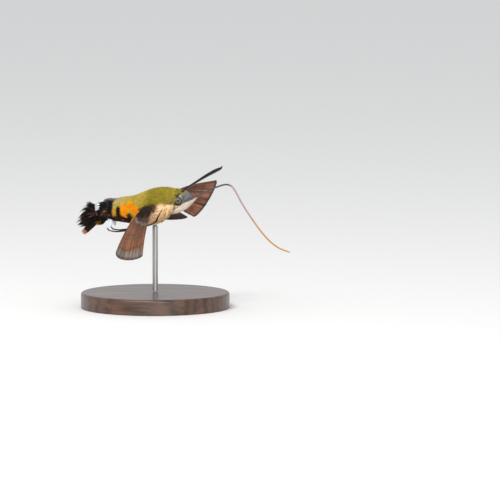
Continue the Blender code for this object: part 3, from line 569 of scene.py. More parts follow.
def lying_tufts(tufts, part, body, x, turn, inset, lengths, tip_rise, wander, widths, heading, seed):
    """Tufts that follow a body's form from the skin at their root out to the coat's surface at their tip."""
    draw = np.random.default_rng(seed)
    count = len(x)
    rows = tufts.rows
    along, round_it = body.slopes(x, turn)
    stride = np.maximum(np.linalg.norm(along, axis=-1), 0.3)
    girth = np.maximum(np.linalg.norm(round_it, axis=-1), 0.012)
    angle = wander * waves(x, turn, seed) * 1.6 + draw.normal(0, wander * 0.45, count)
    share = np.linspace(0, 1, rows)[None, :]
    reach = (lengths * draw.uniform(0.75, 1.15, count))[:, None] * share
    bend = angle[:, None] * (0.5 + 0.5 * share)
    xs = x[:, None] + heading * reach * np.cos(bend) / stride[:, None]
    turns = turn[:, None] + reach * np.sin(bend) / girth[:, None]
    rise = np.asarray(tip_rise) * draw.uniform(0.55, 1.25, count)
    rise += np.where(draw.random(count) < 0.06, draw.uniform(0.05, 0.22, count), 0.0)
    depth = inset * (1 - share**0.8) - rise[:, None] * share
    paths = body.point(xs, turns, depth)
    ups = body.normal(x, turn)
    places = np.stack([x + heading * 0.6 * lengths / stride, turn], axis=-1)
    wide = widths * draw.uniform(0.75, 1.3, count)
    tufts.add(paths, wide, ups, places, map_place(part, x, turn), seed)


def standing_tufts(tufts, part, body, x, turn, inset, lengths, lean, curl, widths, heading, seed):
    """Tufts that stand out from a body: lean in degrees off its surface, and a curl back towards it."""
    draw = np.random.default_rng(seed)
    count = len(x)
    root = body.point(x, turn, inset)
    up = body.normal(x, turn)
    ahead = unit(body.slopes(x, turn)[0]) * heading
    across = np.cross(ahead, up)
    angle = np.radians(lean + draw.normal(0, 6, count))[:, None]
    course = ahead * np.cos(angle) + up * np.sin(angle) + across * draw.normal(0, 0.13, (count, 1))
    reach = (lengths * draw.uniform(0.75, 1.15, count))[:, None] * np.linspace(0, 1, tufts.rows)[None, :]
    paths = root[:, None] + unit(course)[:, None] * reach[:, :, None]
    paths = paths - up[:, None] * (curl * reach**2)[:, :, None]
    places = np.stack([x, turn], axis=-1)
    tufts.add(paths, widths * draw.uniform(0.75, 1.3, count), up, places, map_place(part, x, turn), seed)


# Shader nodes


def node(tree, kind, inputs=None, **values):
    """A node with its settings, and its inputs linked or set."""
    made = tree.nodes.new(kind)
    for name, value in values.items():
        setattr(made, name, value)
    for name, value in (inputs or {}).items():
        feed(tree, made.inputs[name], value)
    return made


def feed(tree, socket, value):
    if isinstance(value, bpy.types.NodeSocket):
        tree.links.new(value, socket)
    else:
        socket.default_value = value


def maths(tree, operation, first, second=0.0, third=0.0, clamp=False):
    made = node(tree, "ShaderNodeMath", operation=operation, use_clamp=clamp)
    for socket, value in zip(made.inputs, (first, second, third)):
        feed(tree, socket, value)
    return made.outputs[0]


def blend(tree, share, first, second, mode="MIX"):
    made = node(tree, "ShaderNodeMix", data_type="RGBA", blend_type=mode)
    feed(tree, made.inputs[0], share)
    feed(tree, made.inputs[6], first)
    feed(tree, made.inputs[7], second)
    return made.outputs[2]


def between(tree, value, low, high, to_low=0.0, to_high=1.0):
    """A smooth step of a value between two limits."""
    made = node(
        tree,
        "ShaderNodeMapRange",
        {"Value": value, "From Min": low, "From Max": high, "To Min": to_low, "To Max": to_high},
        interpolation_type="SMOOTHSTEP",
    )
    return made.outputs[0]


def cloud(tree, vector, scale, detail=3.0, roughness=0.55):
    made = node(
        tree, "ShaderNodeTexNoise", {"Vector": vector, "Scale": scale, "Detail": detail, "Roughness": roughness}
    )
    return made.outputs["Fac"]


def combine(tree, x, y, z=0.0):
    return node(tree, "ShaderNodeCombineXYZ", {"X": x, "Y": y, "Z": z}).outputs[0]


def new_group(name, inputs, outputs):
    """A node group with named sockets. Returns it with its input sockets by name and its output node."""
    group = bpy.data.node_groups.new(name, "ShaderNodeTree")
    for label, kind, default in inputs:
        socket = group.interface.new_socket(name=label, in_out="INPUT", socket_type=kind)
        socket.default_value = default
    for label, kind in outputs:
        group.interface.new_socket(name=label, in_out="OUTPUT", socket_type=kind)
    entry = group.nodes.new("NodeGroupInput")
    leave = group.nodes.new("NodeGroupOutput")
    return group, entry.outputs, leave.inputs


def use_group(tree, group, inputs):
    made = node(tree, "ShaderNodeGroup", node_tree=group)
    for name, value in inputs.items():
        feed(tree, made.inputs[name], value)
    return made.outputs


def patch_group():
    """A soft-edged rounded patch round a place of the body."""
    found = bpy.data.node_groups.get("Soft patch")
    if found:
        return found
    group, given, out = new_group(
        "Soft patch",
        [
            ("Along", "NodeSocketFloat", 0.0),
            ("Turn", "NodeSocketFloat", 0.0),
            ("Centre along", "NodeSocketFloat", 0.0),
            ("Centre turn", "NodeSocketFloat", 90.0),
            ("Half length", "NodeSocketFloat", 1.0),
            ("Half turn", "NodeSocketFloat", 20.0),
            ("Slant", "NodeSocketFloat", 0.0),
            ("Softness", "NodeSocketFloat", 0.2),
        ],
        [("Mask", "NodeSocketFloat")],
    )
    from_centre = maths(group, "SUBTRACT", given["Along"], given["Centre along"])
    along = maths(group, "ABSOLUTE", maths(group, "DIVIDE", from_centre, given["Half length"]))
    turn = maths(group, "SUBTRACT", given["Turn"], given["Centre turn"])
    turn = maths(group, "SUBTRACT", turn, maths(group, "MULTIPLY", from_centre, given["Slant"]))
    turn = maths(group, "ABSOLUTE", maths(group, "DIVIDE", turn, given["Half turn"]))
    far = maths(group, "ADD", maths(group, "POWER", along, 2.6), maths(group, "POWER", turn, 2.6))
    far = maths(group, "POWER", far, 1 / 2.6)
    inner = maths(group, "SUBTRACT", 1.0, given["Softness"])
    outer = maths(group, "ADD", 1.0, given["Softness"])
    group.links.new(between(group, far, inner, outer, 1.0, 0.0), out["Mask"])
    return group


# Markings, painted one over the other: colour, centre along and round, half length and half turn, slant in
# degrees for each millimetre, softness, strength
BODY_MARKS = (
    # Painted highlight along the top of the back.
    ("highlight_gold", 1.5, 0.0, 6.5, 50.0, 0, 0.6, 0.8),
    ("khaki", -7.0, 0.0, 5.6, 125.0, 0, 0.25, 0.9),
    ("cream", -8.9, 12.0, 1.9, 55.0, 0, 0.6, 0.7),
    ("peach", 2.2, 180.0, 6.2, 92.0, 0, 0.06, 1.0),
    # Painted shade along the bottom of the chest.
    ("fawn", 1.5, 180.0, 7.0, 45.0, 0, 0.5, 0.2),
    ("umber", 4.75, 87.0, 0.28, 5.0, 0, 0.5, 0.7),
    ("ash", 4.85, 72.0, 0.5, 11.0, 0, 0.4, 0.65),
    # Painted shade in the gap where the collar meets the head.
    ("umber", 5.08, 34.0, 0.36, 21.0, 0, 0.25, 1.0),
    # Painted shade on the chest just above the wing's root, where the wing meets the body.
    ("umber", -0.9, 92.0, 2.4, 12.0, 0, 0.35, 0.9),
    ("chestnut", -7.3, 180.0, 4.2, 70.0, 0, 0.1, 1.0),
    ("soot", -8.4, 180.0, 2.9, 46.0, 0, 0.7, 0.7),
    ("black", -6.0, 119.0, 1.2, 20.0, 6, 0.35, 0.9),
    ("orange", -7.0, 88.0, 1.2, 28.0, 6, 0.12, 1.0),
    ("orange", -4.55, 84.0, 1.65, 22.0, 15, 0.12, 1.0),
    ("black", -5.9, 110.0, 0.55, 13.0, 0, 0.4, 0.9),
    ("black", -8.65, 96.0, 0.62, 25.0, 5, 0.25, 1.0),
    ("orange", -9.65, 98.0, 0.45, 15.0, 0, 0.4, 0.7),
    ("black", -16.6, 0.0, 6.4, 900.0, 0, 0.03, 1.0),
    # Painted sheen along the top of the last rings.
    ("lilac_sheen", -11.4, 0.0, 2.0, 26.0, 0, 0.5, 0.85),
    ("ash", -11.75, 62.0, 0.15, 42.0, 6, 0.6, 0.75),
    ("salmon", -12.35, 98.0, 0.3, 12.0, 0, 0.6, 0.5),
    ("orange", -11.2, 116.0, 0.3, 7.0, 0, 0.5, 0.13),
    ("orange", -13.35, 112.0, 0.2, 5.0, 0, 0.4, 0.6),
    ("ash", -13.0, 34.0, 0.16, 16.0, 30, 0.5, 0.6),
    ("salmon", -15.2, 84.0, 0.5, 21.0, 0, 0.35, 0.8),
    ("orange", -15.2, 168.0, 0.7, 16.0, 0, 0.4, 0.8),
    ("salmon", -7.7, 137.0, 0.16, 3.5, 0, 0.4, 0.9),
    ("salmon", -6.9, 143.0, 0.14, 3.0, 0, 0.4, 0.9),
)
HEAD_MARKS = (
    # Painted highlight on the front of the face.
    ("lilac_sheen", 8.9, 60.0, 0.7, 70.0, 0, 0.5, 0.7),
    ("frost", 9.1, 70.0, 0.5, 60.0, 0, 0.5, 0.4),
    ("straw", 7.4, 0.0, 1.25, 62.0, 0, 0.15, 1.0),
    ("frost", 6.3, 92.0, 1.2, 38.0, 0, 0.16, 1.0),
    # These two umber patches are painted shade in the gap between the back of the head and the collar.
    ("umber", 5.9, 0.0, 1.3, 26.0, 0, 0.2, 1.0),
    ("umber", 5.6, 0.0, 1.05, 52.0, 0, 0.25, 1.0),
    ("ivory", 6.0, 160.0, 3.0, 46.0, 0, 0.3, 0.95),
)
PALP_MARKS = (
    ("grey", 9.2, 0.0, 4.5, 80.0, 9, 0.07, 1.0),
    ("soot", 9.0, 80.0, 3.4, 6.0, 9, 0.5, 0.7),
    # Painted highlight on the top of the palps' tips.
    ("lilac_sheen", 10.6, 0.0, 0.8, 70.0, 0, 0.5, 0.6),
)


def markings_group(name, base, marks, roughen):
    """Colour of the fur at a place of the body: patches painted one over the other, with ragged edges."""
    found = bpy.data.node_groups.get(name)
    if found:
        return found
    group, given, out = new_group(name, [("Place", "NodeSocketVector", (0, 0, 0))], [("Colour", "NodeSocketColor")])
    parts = node(group, "ShaderNodeSeparateXYZ", {"Vector": given["Place"]}).outputs
    spot = combine(group, parts[0], maths(group, "MULTIPLY", parts[1], 0.07))
    ragged = maths(group, "SUBTRACT", cloud(group, spot, 2.6, 4.0, 0.7), 0.5)
    along = maths(group, "MULTIPLY_ADD", ragged, roughen, parts[0])
    shifted = node(group, "ShaderNodeVectorMath", {0: spot, 1: (7.3, 3.1, 0.0)}, operation="ADD").outputs[0]
    ragged = maths(group, "SUBTRACT", cloud(group, shifted, 2.6, 4.0, 0.7), 0.5)
    turn = maths(group, "MULTIPLY_ADD", ragged, roughen * 16, parts[1])
    mottle = between(group, cloud(group, spot, 1.1, 2.0), 0.3, 0.7, 0.86, 1.12)
    result = shade_of(base)
    for colour_name, centre, centre_turn, half, half_turn, slant, softness, strength in marks:
        mask = use_group(
            group,
            patch_group(),
            {
                "Along": along,
                "Turn": turn,
                "Centre along": centre,
                "Centre turn": centre_turn,
                "Half length": half,
                "Half turn": half_turn,
                "Slant": slant,
                "Softness": softness,
            },
        )["Mask"]
        result = blend(group, maths(group, "MULTIPLY", mask, strength), result, shade_of(colour_name))
    result = blend(group, 1.0, result, combine(group, mottle, mottle, mottle), "MULTIPLY")
    group.links.new(result, out["Colour"])
    return group


def tuft_group():
    """Shades a tuft: darker at its root as a painted shade under the tufts that lie over it, paler at its tip, each a
    little unlike its neighbours.
    """
    found = bpy.data.node_groups.get("Tuft shading")
    if found:
        return found
    group, given, out = new_group(
        "Tuft shading",
        [
            ("Colour", "NodeSocketColor", (0.5, 0.5, 0.5, 1)),
            ("Share", "NodeSocketFloat", 0.5),
            ("Shade", "NodeSocketFloat", 0.5),
            ("Root", "NodeSocketFloat", 0.55),
            ("Tip", "NodeSocketFloat", 1.15),
            ("Variety", "NodeSocketFloat", 0.3),
        ],
        [("Colour", "NodeSocketColor")],
    )
    # Painted shade: the colour darkens from the tip towards the tuft's root.
    along = between(group, given["Share"], 0.0, 0.75, given["Root"], given["Tip"])
    unlike = maths(group, "MULTIPLY_ADD", maths(group, "SUBTRACT", given["Shade"], 0.5), given["Variety"], 1.0)
    level = maths(group, "MULTIPLY", along, unlike)
    result = blend(group, 1.0, given["Colour"], combine(group, level, level, level), "MULTIPLY")
    group.links.new(result, out["Colour"])
    return group


def new_material(name):
    """A material with its Principled shader. Returns it with its tree and the shader's inputs."""
    material = bpy.data.materials.new(name)
    material.use_nodes = True
    shader = material.node_tree.nodes["Principled BSDF"]
    return material, material.node_tree, shader.inputs


def read_attribute(tree, name, output):
    return node(tree, "ShaderNodeAttribute", attribute_name=name).outputs[output]


def fur_material(name, markings, root=0.55, tip=1.3, variety=0.5, roughness=0.75):
    """Fur or scales in tufts, coloured by where their roots are on the body."""
    found = bpy.data.materials.get(name)
    if found:
        return found
    material, tree, shader = new_material(name)
    place = read_attribute(tree, "place", "Vector")
    share = node(tree, "ShaderNodeSeparateXYZ", {"Vector": place}).outputs[2]
    shade = read_attribute(tree, "shade", "Fac")
    base = use_group(tree, markings, {"Place": place})["Colour"]
    values = {"Colour": base, "Share": share, "Shade": shade, "Root": root, "Tip": tip, "Variety": variety}
    result = use_group(tree, tuft_group(), values)["Colour"]
    feed(tree, shader["Base Color"], result)
    feed(tree, shader["Roughness"], between(tree, shade, 0.0, 1.0, roughness - 0.1, roughness + 0.1))
    shader["Specular IOR Level"].default_value = 0.15
    return material


def skin_material(name, markings):
    """The skin below the coat: the coat's colours, darker, with a fine scaly grain."""
    found = bpy.data.materials.get(name)
    if found:
        return found
    material, tree, shader = new_material(name)
    place = read_attribute(tree, "place", "Vector")
    base = use_group(tree, markings, {"Place": place})["Colour"]
    darker = blend(tree, 1.0, base, (0.7, 0.68, 0.65, 1), "MULTIPLY")
    feed(tree, shader["Base Color"], darker)
    where = node(tree, "ShaderNodeTexCoord").outputs["Object"]
    grain = cloud(tree, where, 4000.0, 3.0)
    feed(tree, shader["Roughness"], between(tree, grain, 0.3, 0.7, 0.75, 0.95))
    shader["Specular IOR Level"].default_value = 0.15
    bump = node(tree, "ShaderNodeBump", {"Height": grain, "Distance": 0.00008, "Strength": 0.6})
    feed(tree, shader["Normal"], bump.outputs[0])
    return material


def body_markings():
    return markings_group("Body markings", "olive", BODY_MARKS, 0.55)


def head_markings():
    return markings_group("Head markings", "grey", HEAD_MARKS, 0.25)


def palp_markings():
    return markings_group("Palp markings", "ivory", PALP_MARKS, 0.2)


# Skin


def add_body(shape, body, columns, rows, inset, x_start, x_end):
    """One closed body from its sections."""

    def place(column, row):
        return body.point(x_start + (x_end - x_start) * row, -180 + 360 * column, inset)

    close_tube(shape, shaped_grid(shape, columns, rows, place))


def skin_shape():
    """Chest, abdomen, head, palps and the cores of the tail, each closed, in one mesh."""
    coat = settings().coat
    shape = bmesh.new()
    add_body(shape, TORSO, 40, 70, coat.body_depth / MM, -15.55, 6.15)
    add_body(shape, HEAD, 32, 30, coat.head_depth / MM, 4.05, 9.15)
    for body in PALPS.values():
        add_body(shape, body, 20, 30, coat.palp_depth / MM, 5.15, 10.95)
    core = Body(
        [(x, z, high * 0.55, wide * 0.55, lean) for x, z, high, wide, lean in FAN_SECTIONS[1:]], 0.4, 0.4
    )
    add_body(shape, core, 20, 12, 0.0, -16.3, -14.4)
    pencil = smooth(range(4), PENCIL_COURSE, np.linspace(0, 1.6, 8)) + (0, 0, FLIGHT_HEIGHT)
    add_tube(shape, pencil, np.linspace(0.6, 0.3, 8), 10)
    return shape


def nearest_part(points):
    """The part of the body that each point belongs to, with its place there."""
    parts = {"torso": TORSO, "head": HEAD, **PALPS}
    best = np.full(len(points), np.inf)
    names = np.zeros(len(points), "U8")
    for name, body in parts.items():
        middle, height, width, lean = smooth(body.knots, body.columns, points[:, 0]).T
        shift = smooth(body.knots, body.spread, points[:, 0])[:, 0] * body.side
        beyond = np.maximum(points[:, 0] - body.knots[-1], body.knots[0] - points[:, 0]).clip(0)
        far = np.hypot((points[:, 1] - shift) / width, (points[:, 2] - FLIGHT_HEIGHT - middle) / height)
        far = far + beyond * (0.35 if name == "torso" else 1.5)
        far = np.abs(far - 0.93) if name != "torso" else np.abs(far - 0.93) * 1.15
        closer = far < best
        best[closer] = far[closer]
        names[closer] = name
    places = np.zeros((len(points), 2))
    for name, body in parts.items():
        chosen = names == name
        middle, _, _, _ = smooth(body.knots, body.columns, points[chosen, 0]).T
        shift = smooth(body.knots, body.spread, points[chosen, 0])[:, 0] * body.side
        up = points[chosen, 2] - FLIGHT_HEIGHT - middle
        places[chosen, 0] = points[chosen, 0]
        places[chosen, 1] = np.degrees(np.arctan2(points[chosen, 1] - shift, up))
    return names, places


def mark_skin(mesh):
    """Writes the place of every point on the body, the material of every face, and the map."""
    points = np.zeros(len(mesh.vertices) * 3)
    mesh.vertices.foreach_get("co", points)
    points = points.reshape(-1, 3) / MM
    names, places = nearest_part(points)
    values = np.zeros((len(points), 3), np.float32)
    values[:, 0] = places[:, 0]
    values[:, 1] = np.abs(places[:, 1])
    values[:, 2] = 0.3
    mesh.attributes.new("place", "FLOAT_VECTOR", "POINT").data.foreach_set("vector", values.ravel())
    slots = {"torso": 0, "head": 1, "left": 2, "right": 2}
    layer = mesh.uv_layers.new(name="OFBake")
    for face in mesh.polygons:
        corners = list(face.vertices)
        part = names[corners[0]]
        face.material_index = slots[part]
        turns = places[corners, 1]
        if turns.max() - turns.min() > 180:
            turns = np.where(turns < 0, turns + 360, turns)
        for loop, spot in zip(face.loop_indices, map_place(part, places[corners, 0], turns)):
            layer.uv[loop].vector = spot


def remeshed(shape, name, voxel, smoothing):
    """One even skin over all closed surfaces of a bmesh."""
    source = bpy.data.objects.new(name, bmesh_to_mesh(shape, name))
    bpy.context.scene.collection.objects.link(source)
    remesh = source.modifiers.new("One skin", "REMESH")
    remesh.mode = "VOXEL"
    remesh.voxel_size = voxel
    relax = source.modifiers.new("Relax", "SMOOTH")
    relax.factor = 0.5
    relax.iterations = smoothing
    graph = bpy.context.evaluated_depsgraph_get()
    mesh = bpy.data.meshes.new_from_object(source.evaluated_get(graph))
    bpy.data.objects.remove(source)
    mesh.shade_smooth()
    return mesh


class HAWKMOTH_OT_skin(bpy.types.Operator):
    """One skin over chest, abdomen, head, palps and the core of the tail"""

    bl_idname = "hawk_moth.skin"
    bl_label = "Skin"

    def execute(self, context):
        mesh = remeshed(skin_shape(), "body_skin", 0.16 * MM, 3)
        mark_skin(mesh)
        materials = [
            skin_material("skin under fur", body_markings()),
            skin_material("skin under face hair", head_markings()),
            skin_material("skin under palp scales", palp_markings()),
        ]
        replaced = ["thorax", "abdomen_front", "abdomen_middle", "abdomen_rear", "head"]
        replaced += ["palp_left", "palp_right"]
        finish_piece("body_skin", mesh, materials, replaced)
        return {"FINISHED"}


HAIR_TAPER = (0.7, 1.0, 0.75, 0.0)
SCALE_TAPER = (0.8, 1.0, 0.0)
STRAND_TAPER = (0.8, 1.0, 0.9, 0.7, 0.45, 0.0)


# The collar's place on the chest
COLLAR_SPAN = (3.7, 5.0)


def chest_tufts(tufts, turn_span, hair, per_area, wander, seed):
    """Hair over part of the chest, swept back, clear of the head."""
    coat = settings().coat
    x, turn = scatter(TORSO, (-3.2, 6.05), turn_span, per_area, seed)
    root = TORSO.point(x, turn, coat.body_depth / MM)
    free = ~HEAD.holds(root, coat.head_depth / MM)
    x, turn = x[free], turn[free]
    inset = coat.body_depth / MM
    width = coat.hair_width / MM
    longer = np.where(np.random.default_rng(seed).random(len(x)) < 0.08, 1.5, 1.0)
    lying_tufts(tufts, "torso", TORSO, x, turn, inset, hair / MM * longer, 0.03, wander, width, -1, seed)


class HAWKMOTH_OT_chest_coat(bpy.types.Operator):
    """Olive fur of the back and pale fur under the chest"""

    bl_idname = "hawk_moth.chest_coat"
    bl_label = "Chest coat"

    def execute(self, context):
        coat = settings().coat
        tufts = Tufts(len(HAIR_TAPER))
        chest_tufts(tufts, (-100, 100), coat.chest_hair, 62, 0.2, 11)
        x, turn = scatter(TORSO, COLLAR_SPAN, (-54, 54), 70, 13)
        width = coat.hair_width / MM
        reach = 1.15 * (1 - (np.abs(turn) / 60) ** 2)
        standing_tufts(tufts, "torso", TORSO, x, turn, 0.3, reach, 27, 0.0, width, 1, 13)
        material = fur_material("chest fur", body_markings())
        finish_piece("chest_coat", tufts.mesh("chest_coat", HAIR_TAPER, 0.28), [material])
        tufts = Tufts(len(HAIR_TAPER))
        chest_tufts(tufts, (100, 260), coat.belly_hair, 48, 0.22, 12)
        mesh = tufts.mesh("chest_under_coat", HAIR_TAPER, 0.28)
        finish_piece("chest_under_coat", mesh, [material])
        return {"FINISHED"}


class HAWKMOTH_OT_abdomen_coat(bpy.types.Operator):
    """Scales of the abdomen, and the longer scales of its last rings"""

    bl_idname = "hawk_moth.abdomen_coat"
    bl_label = "Abdomen coat"

    def execute(self, context):
        coat = settings().coat
        inset = coat.body_depth / MM
        width = coat.scale_width / MM
        tufts = Tufts(len(SCALE_TAPER))
        x, turn = scatter(TORSO, (-10.9, -2.3), (-180, 180), 52, 21)
        scale = coat.abdomen_scale / MM
        lying_tufts(tufts, "torso", TORSO, x, turn, inset, scale, 0.0, 0.12, width, -1, 21)
        mesh = tufts.mesh("abdomen_coat", SCALE_TAPER, 0.22)
        material = fur_material("abdomen scales", body_markings(), root=0.6, tip=1.15, variety=0.3)
        finish_piece("abdomen_coat", mesh, [material])
        x, turn = scatter(TORSO, (-15.5, -10.3), (-180, 180), 60, 22)
        tufts = Tufts(len(HAIR_TAPER))
        lying_tufts(tufts, "torso", TORSO, x, turn, inset, 1.2, 0.03, 0.2, 0.16, -1, 22)
        mesh = tufts.mesh("rear_coat", HAIR_TAPER, 0.25)
        material = fur_material("black scales", body_markings(), root=0.6, tip=1.5, variety=0.5, roughness=0.5)
        finish_piece("rear_coat", mesh, [material])
        return {"FINISHED"}


class HAWKMOTH_OT_head_coat(bpy.types.Operator):
    """Short hair of the head, its raised crest between the feelers, and the scales of the palps"""

    bl_idname = "hawk_moth.head_coat"
    bl_label = "Head coat"

    def execute(self, context):
        coat = settings().coat
        x, turn = scatter(HEAD, (4.9, 9.15), (-180, 180), 110, 31)
        inset = coat.head_depth / MM
        root = HEAD.point(x, turn, inset)
        free = ~TORSO.holds(root, coat.body_depth / MM)
        for side in SIDES.values():
            centre = np.array(EYE_CENTRE) * (1, side, 1) + (0, 0, FLIGHT_HEIGHT)
            free &= np.linalg.norm((root - centre) / EYE_RADII, axis=-1) > 1.04
        x, turn = x[free], turn[free]
        crest = np.clip(1 - np.abs(turn) / 50, 0, 1) * np.clip((x - 5.4) / 0.8, 0, 1)
        lengths = coat.head_hair / MM * (1 + 0.5 * crest)
        tufts = Tufts(len(HAIR_TAPER))
        lying_tufts(tufts, "head", HEAD, x, turn, inset, lengths, 0.04 + 0.25 * crest, 0.25, 0.1, -1, 31)
        x, turn = scatter(HEAD, (8.1, 8.95), (-85, 85), 190, 36)
        standing_tufts(tufts, "head", HEAD, x, turn, inset, 1.3, 3, 0.14, 0.1, 1, 36)
        mesh = tufts.mesh("head_coat", HAIR_TAPER, 0.28)
        material = fur_material("face hair", head_markings(), variety=0.35)
        finish_piece("head_coat", mesh, [material])
        tufts = Tufts(len(SCALE_TAPER))
        for seed, (name, body) in enumerate(PALPS.items(), start=32):
            x, turn = scatter(body, (5.2, 10.9), (-180, 180), 130, seed)
            lying_tufts(tufts, name, body, x, turn, coat.palp_depth / MM, 0.55, 0.02, 0.15, 0.11, 1, seed)
            x, turn = scatter(body, (5.2, 6.9), (60, 300), 90, seed + 2)
            standing_tufts(tufts, name, body, x, turn, 0.1, 1.5, 9, 0.1, 0.12, -1, seed + 2)
        mesh = tufts.mesh("palp_coat", SCALE_TAPER, 0.25)
        material = fur_material("palp scales", palp_markings(), root=0.65, tip=1.1, variety=0.2)
        finish_piece("palp_coat", mesh, [material])
        return {"FINISHED"}


# Long locks: how many, from where to where along x, depth in the body at root and tip, width, turn of the ring
FAN_TIERS = (
    (26, -14.9, -19.5, 0.62, 1.06, 1.1, 0.0),
    (22, -14.9, -19.6, 0.5, 0.9, 1.1, 0.5),
    (15, -14.9, -19.7, 0.34, 0.66, 1.1, 0.4),
    (7, -14.9, -19.7, 0.12, 0.36, 1.1, 0.2),
    (12, -16.1, -19.7, 0.3, 0.56, 1.1, 0.3),
    (8, -16.1, -19.6, 0.06, 0.24, 1.1, 0.1),
)
REAR_TIERS = (
    (23, -11.2, -13.3, 0.84, 1.05, 1.3, 0.0),
    (21, -12.9, -15.0, 0.84, 1.08, 1.2, 0.5),
)
# White tufts on the last rings: places along, turns from the back, length
WHITE_PATCHES = (
    ((-13.3, -12.7), (0, 26), 0.9),
    ((-14.1, -13.5), (0, 74), 1.0),
)
END_TIER = (19, -14.5, -16.6, 0.86, 1.08, 1.2, 0.2)


def tier_strands(tufts, body, tier, strands, shorter_above, flare, width, seed):
    """Fine strands gathered in a ring of locks that fan out from a body."""
    count, start, end, root_depth, tip_depth, lock_width, turned = tier
    draw = np.random.default_rng(seed)
    locks = np.repeat(np.arange(count), strands)
    lock_turn = 360 * (np.arange(count) + turned + draw.uniform(-0.15, 0.15, count)) / count - 180
    above = np.clip(np.cos(np.radians(lock_turn)), 0, 1)
    ends = end + draw.uniform(-0.35, 0.8, count) + shorter_above * above * draw.uniform(0.35, 1.0, count)
    flares = flare * (0.25 + above) * draw.uniform(0.3, 1.0, count)
    total = len(locks)
    share = np.linspace(0, 1, tufts.rows)[None, :]
    gather = 1 - 0.93 * share
    loose = draw.normal(0, 0.42, (total, 1)).clip(-1, 1) * lock_width * gather
    loose += draw.normal(0, 0.06, (total, 1)) * share**2
    layer = draw.normal(0, 0.06, (total, 1)) * gather
    tip = ends[locks][:, None] + draw.uniform(0.0, 1.0, (total, 1)) ** 1.5 * 1.3
    xs = start + draw.uniform(-0.3, 0.3, (total, 1)) + (tip - start) * share
    depth = root_depth + (tip_depth - root_depth) * share**0.7 + layer
    depth = depth + flares[locks][:, None] * share**2
    reach = np.maximum(np.linalg.norm(body.slopes(xs.ravel(), 0.0 * xs.ravel() + 90)[1], axis=-1), 0.01)
    turns = lock_turn[locks][:, None] + loose / reach.reshape(xs.shape) / np.maximum(depth, 0.3)
    paths = body.point(xs, turns, 0.0, depth)
    ups = body.normal(xs[:, 0], turns[:, 0])
    places = np.stack([xs[:, 0], wrapped(turns[:, 0])], axis=-1)
    maps = map_place("torso", np.clip(xs[:, 0] + share.mean() * (tip - start)[:, 0], -20.3, 6), places[:, 1])
    tufts.add(paths, width * draw.uniform(0.7, 1.3, total), ups, places, maps, seed)


def bundle_strands(tufts, course, radii, count, width, place, seed, shortest=0.72):
    """Fine strands that run side by side round a course, the shortest to a share of its length."""
    draw = np.random.default_rng(seed)
    knots = range(len(course))
    share = np.linspace(0, 1, tufts.rows)[None, :]
    reach = (len(course) - 1) * draw.uniform(shortest, 1.0, (count, 1))
    steps = (reach * share).ravel()
    middle = smooth(knots, course, steps).reshape(count, tufts.rows, 3)
    room = smooth(knots, [[radius] for radius in radii], steps).reshape(count, tufts.rows, 1)
    ahead = unit(np.asarray(course[-1]) - np.asarray(course[0]))
    level = unit(np.cross(ahead, (0.0, 0.0, 1.0)))
    over = np.cross(level, ahead)
    angle = draw.uniform(0, math.tau, count)
    out = (level * np.cos(angle)[:, None] + over * np.sin(angle)[:, None])[:, None, :]
    off = np.sqrt(draw.uniform(0.05, 1, count))[:, None, None]
    paths = middle + out * off * room + (0, 0, FLIGHT_HEIGHT)
    places = np.repeat(np.array([place], float), count, axis=0)
    places[:, 0] += draw.uniform(-0.1, 0.1, count)
    maps = map_place("torso", places[:, 0], places[:, 1] + draw.uniform(-9, 9, count))
    tufts.add(paths, width * draw.uniform(0.7, 1.3, count), out[:, 0], places, maps, seed)


def tip_markings(name, base, tip):
    """Strands of one colour with tips of another."""
    found = bpy.data.node_groups.get(name)
    if found:
        return found
    group, given, out = new_group(name, [("Place", "NodeSocketVector", (0, 0, 0))], [("Colour", "NodeSocketColor")])
    share = node(group, "ShaderNodeSeparateXYZ", {"Vector": given["Place"]}).outputs[2]
    mask = between(group, share, 0.74, 0.84)
    group.links.new(blend(group, mask, shade_of(base), shade_of(tip)), out["Colour"])
    return group


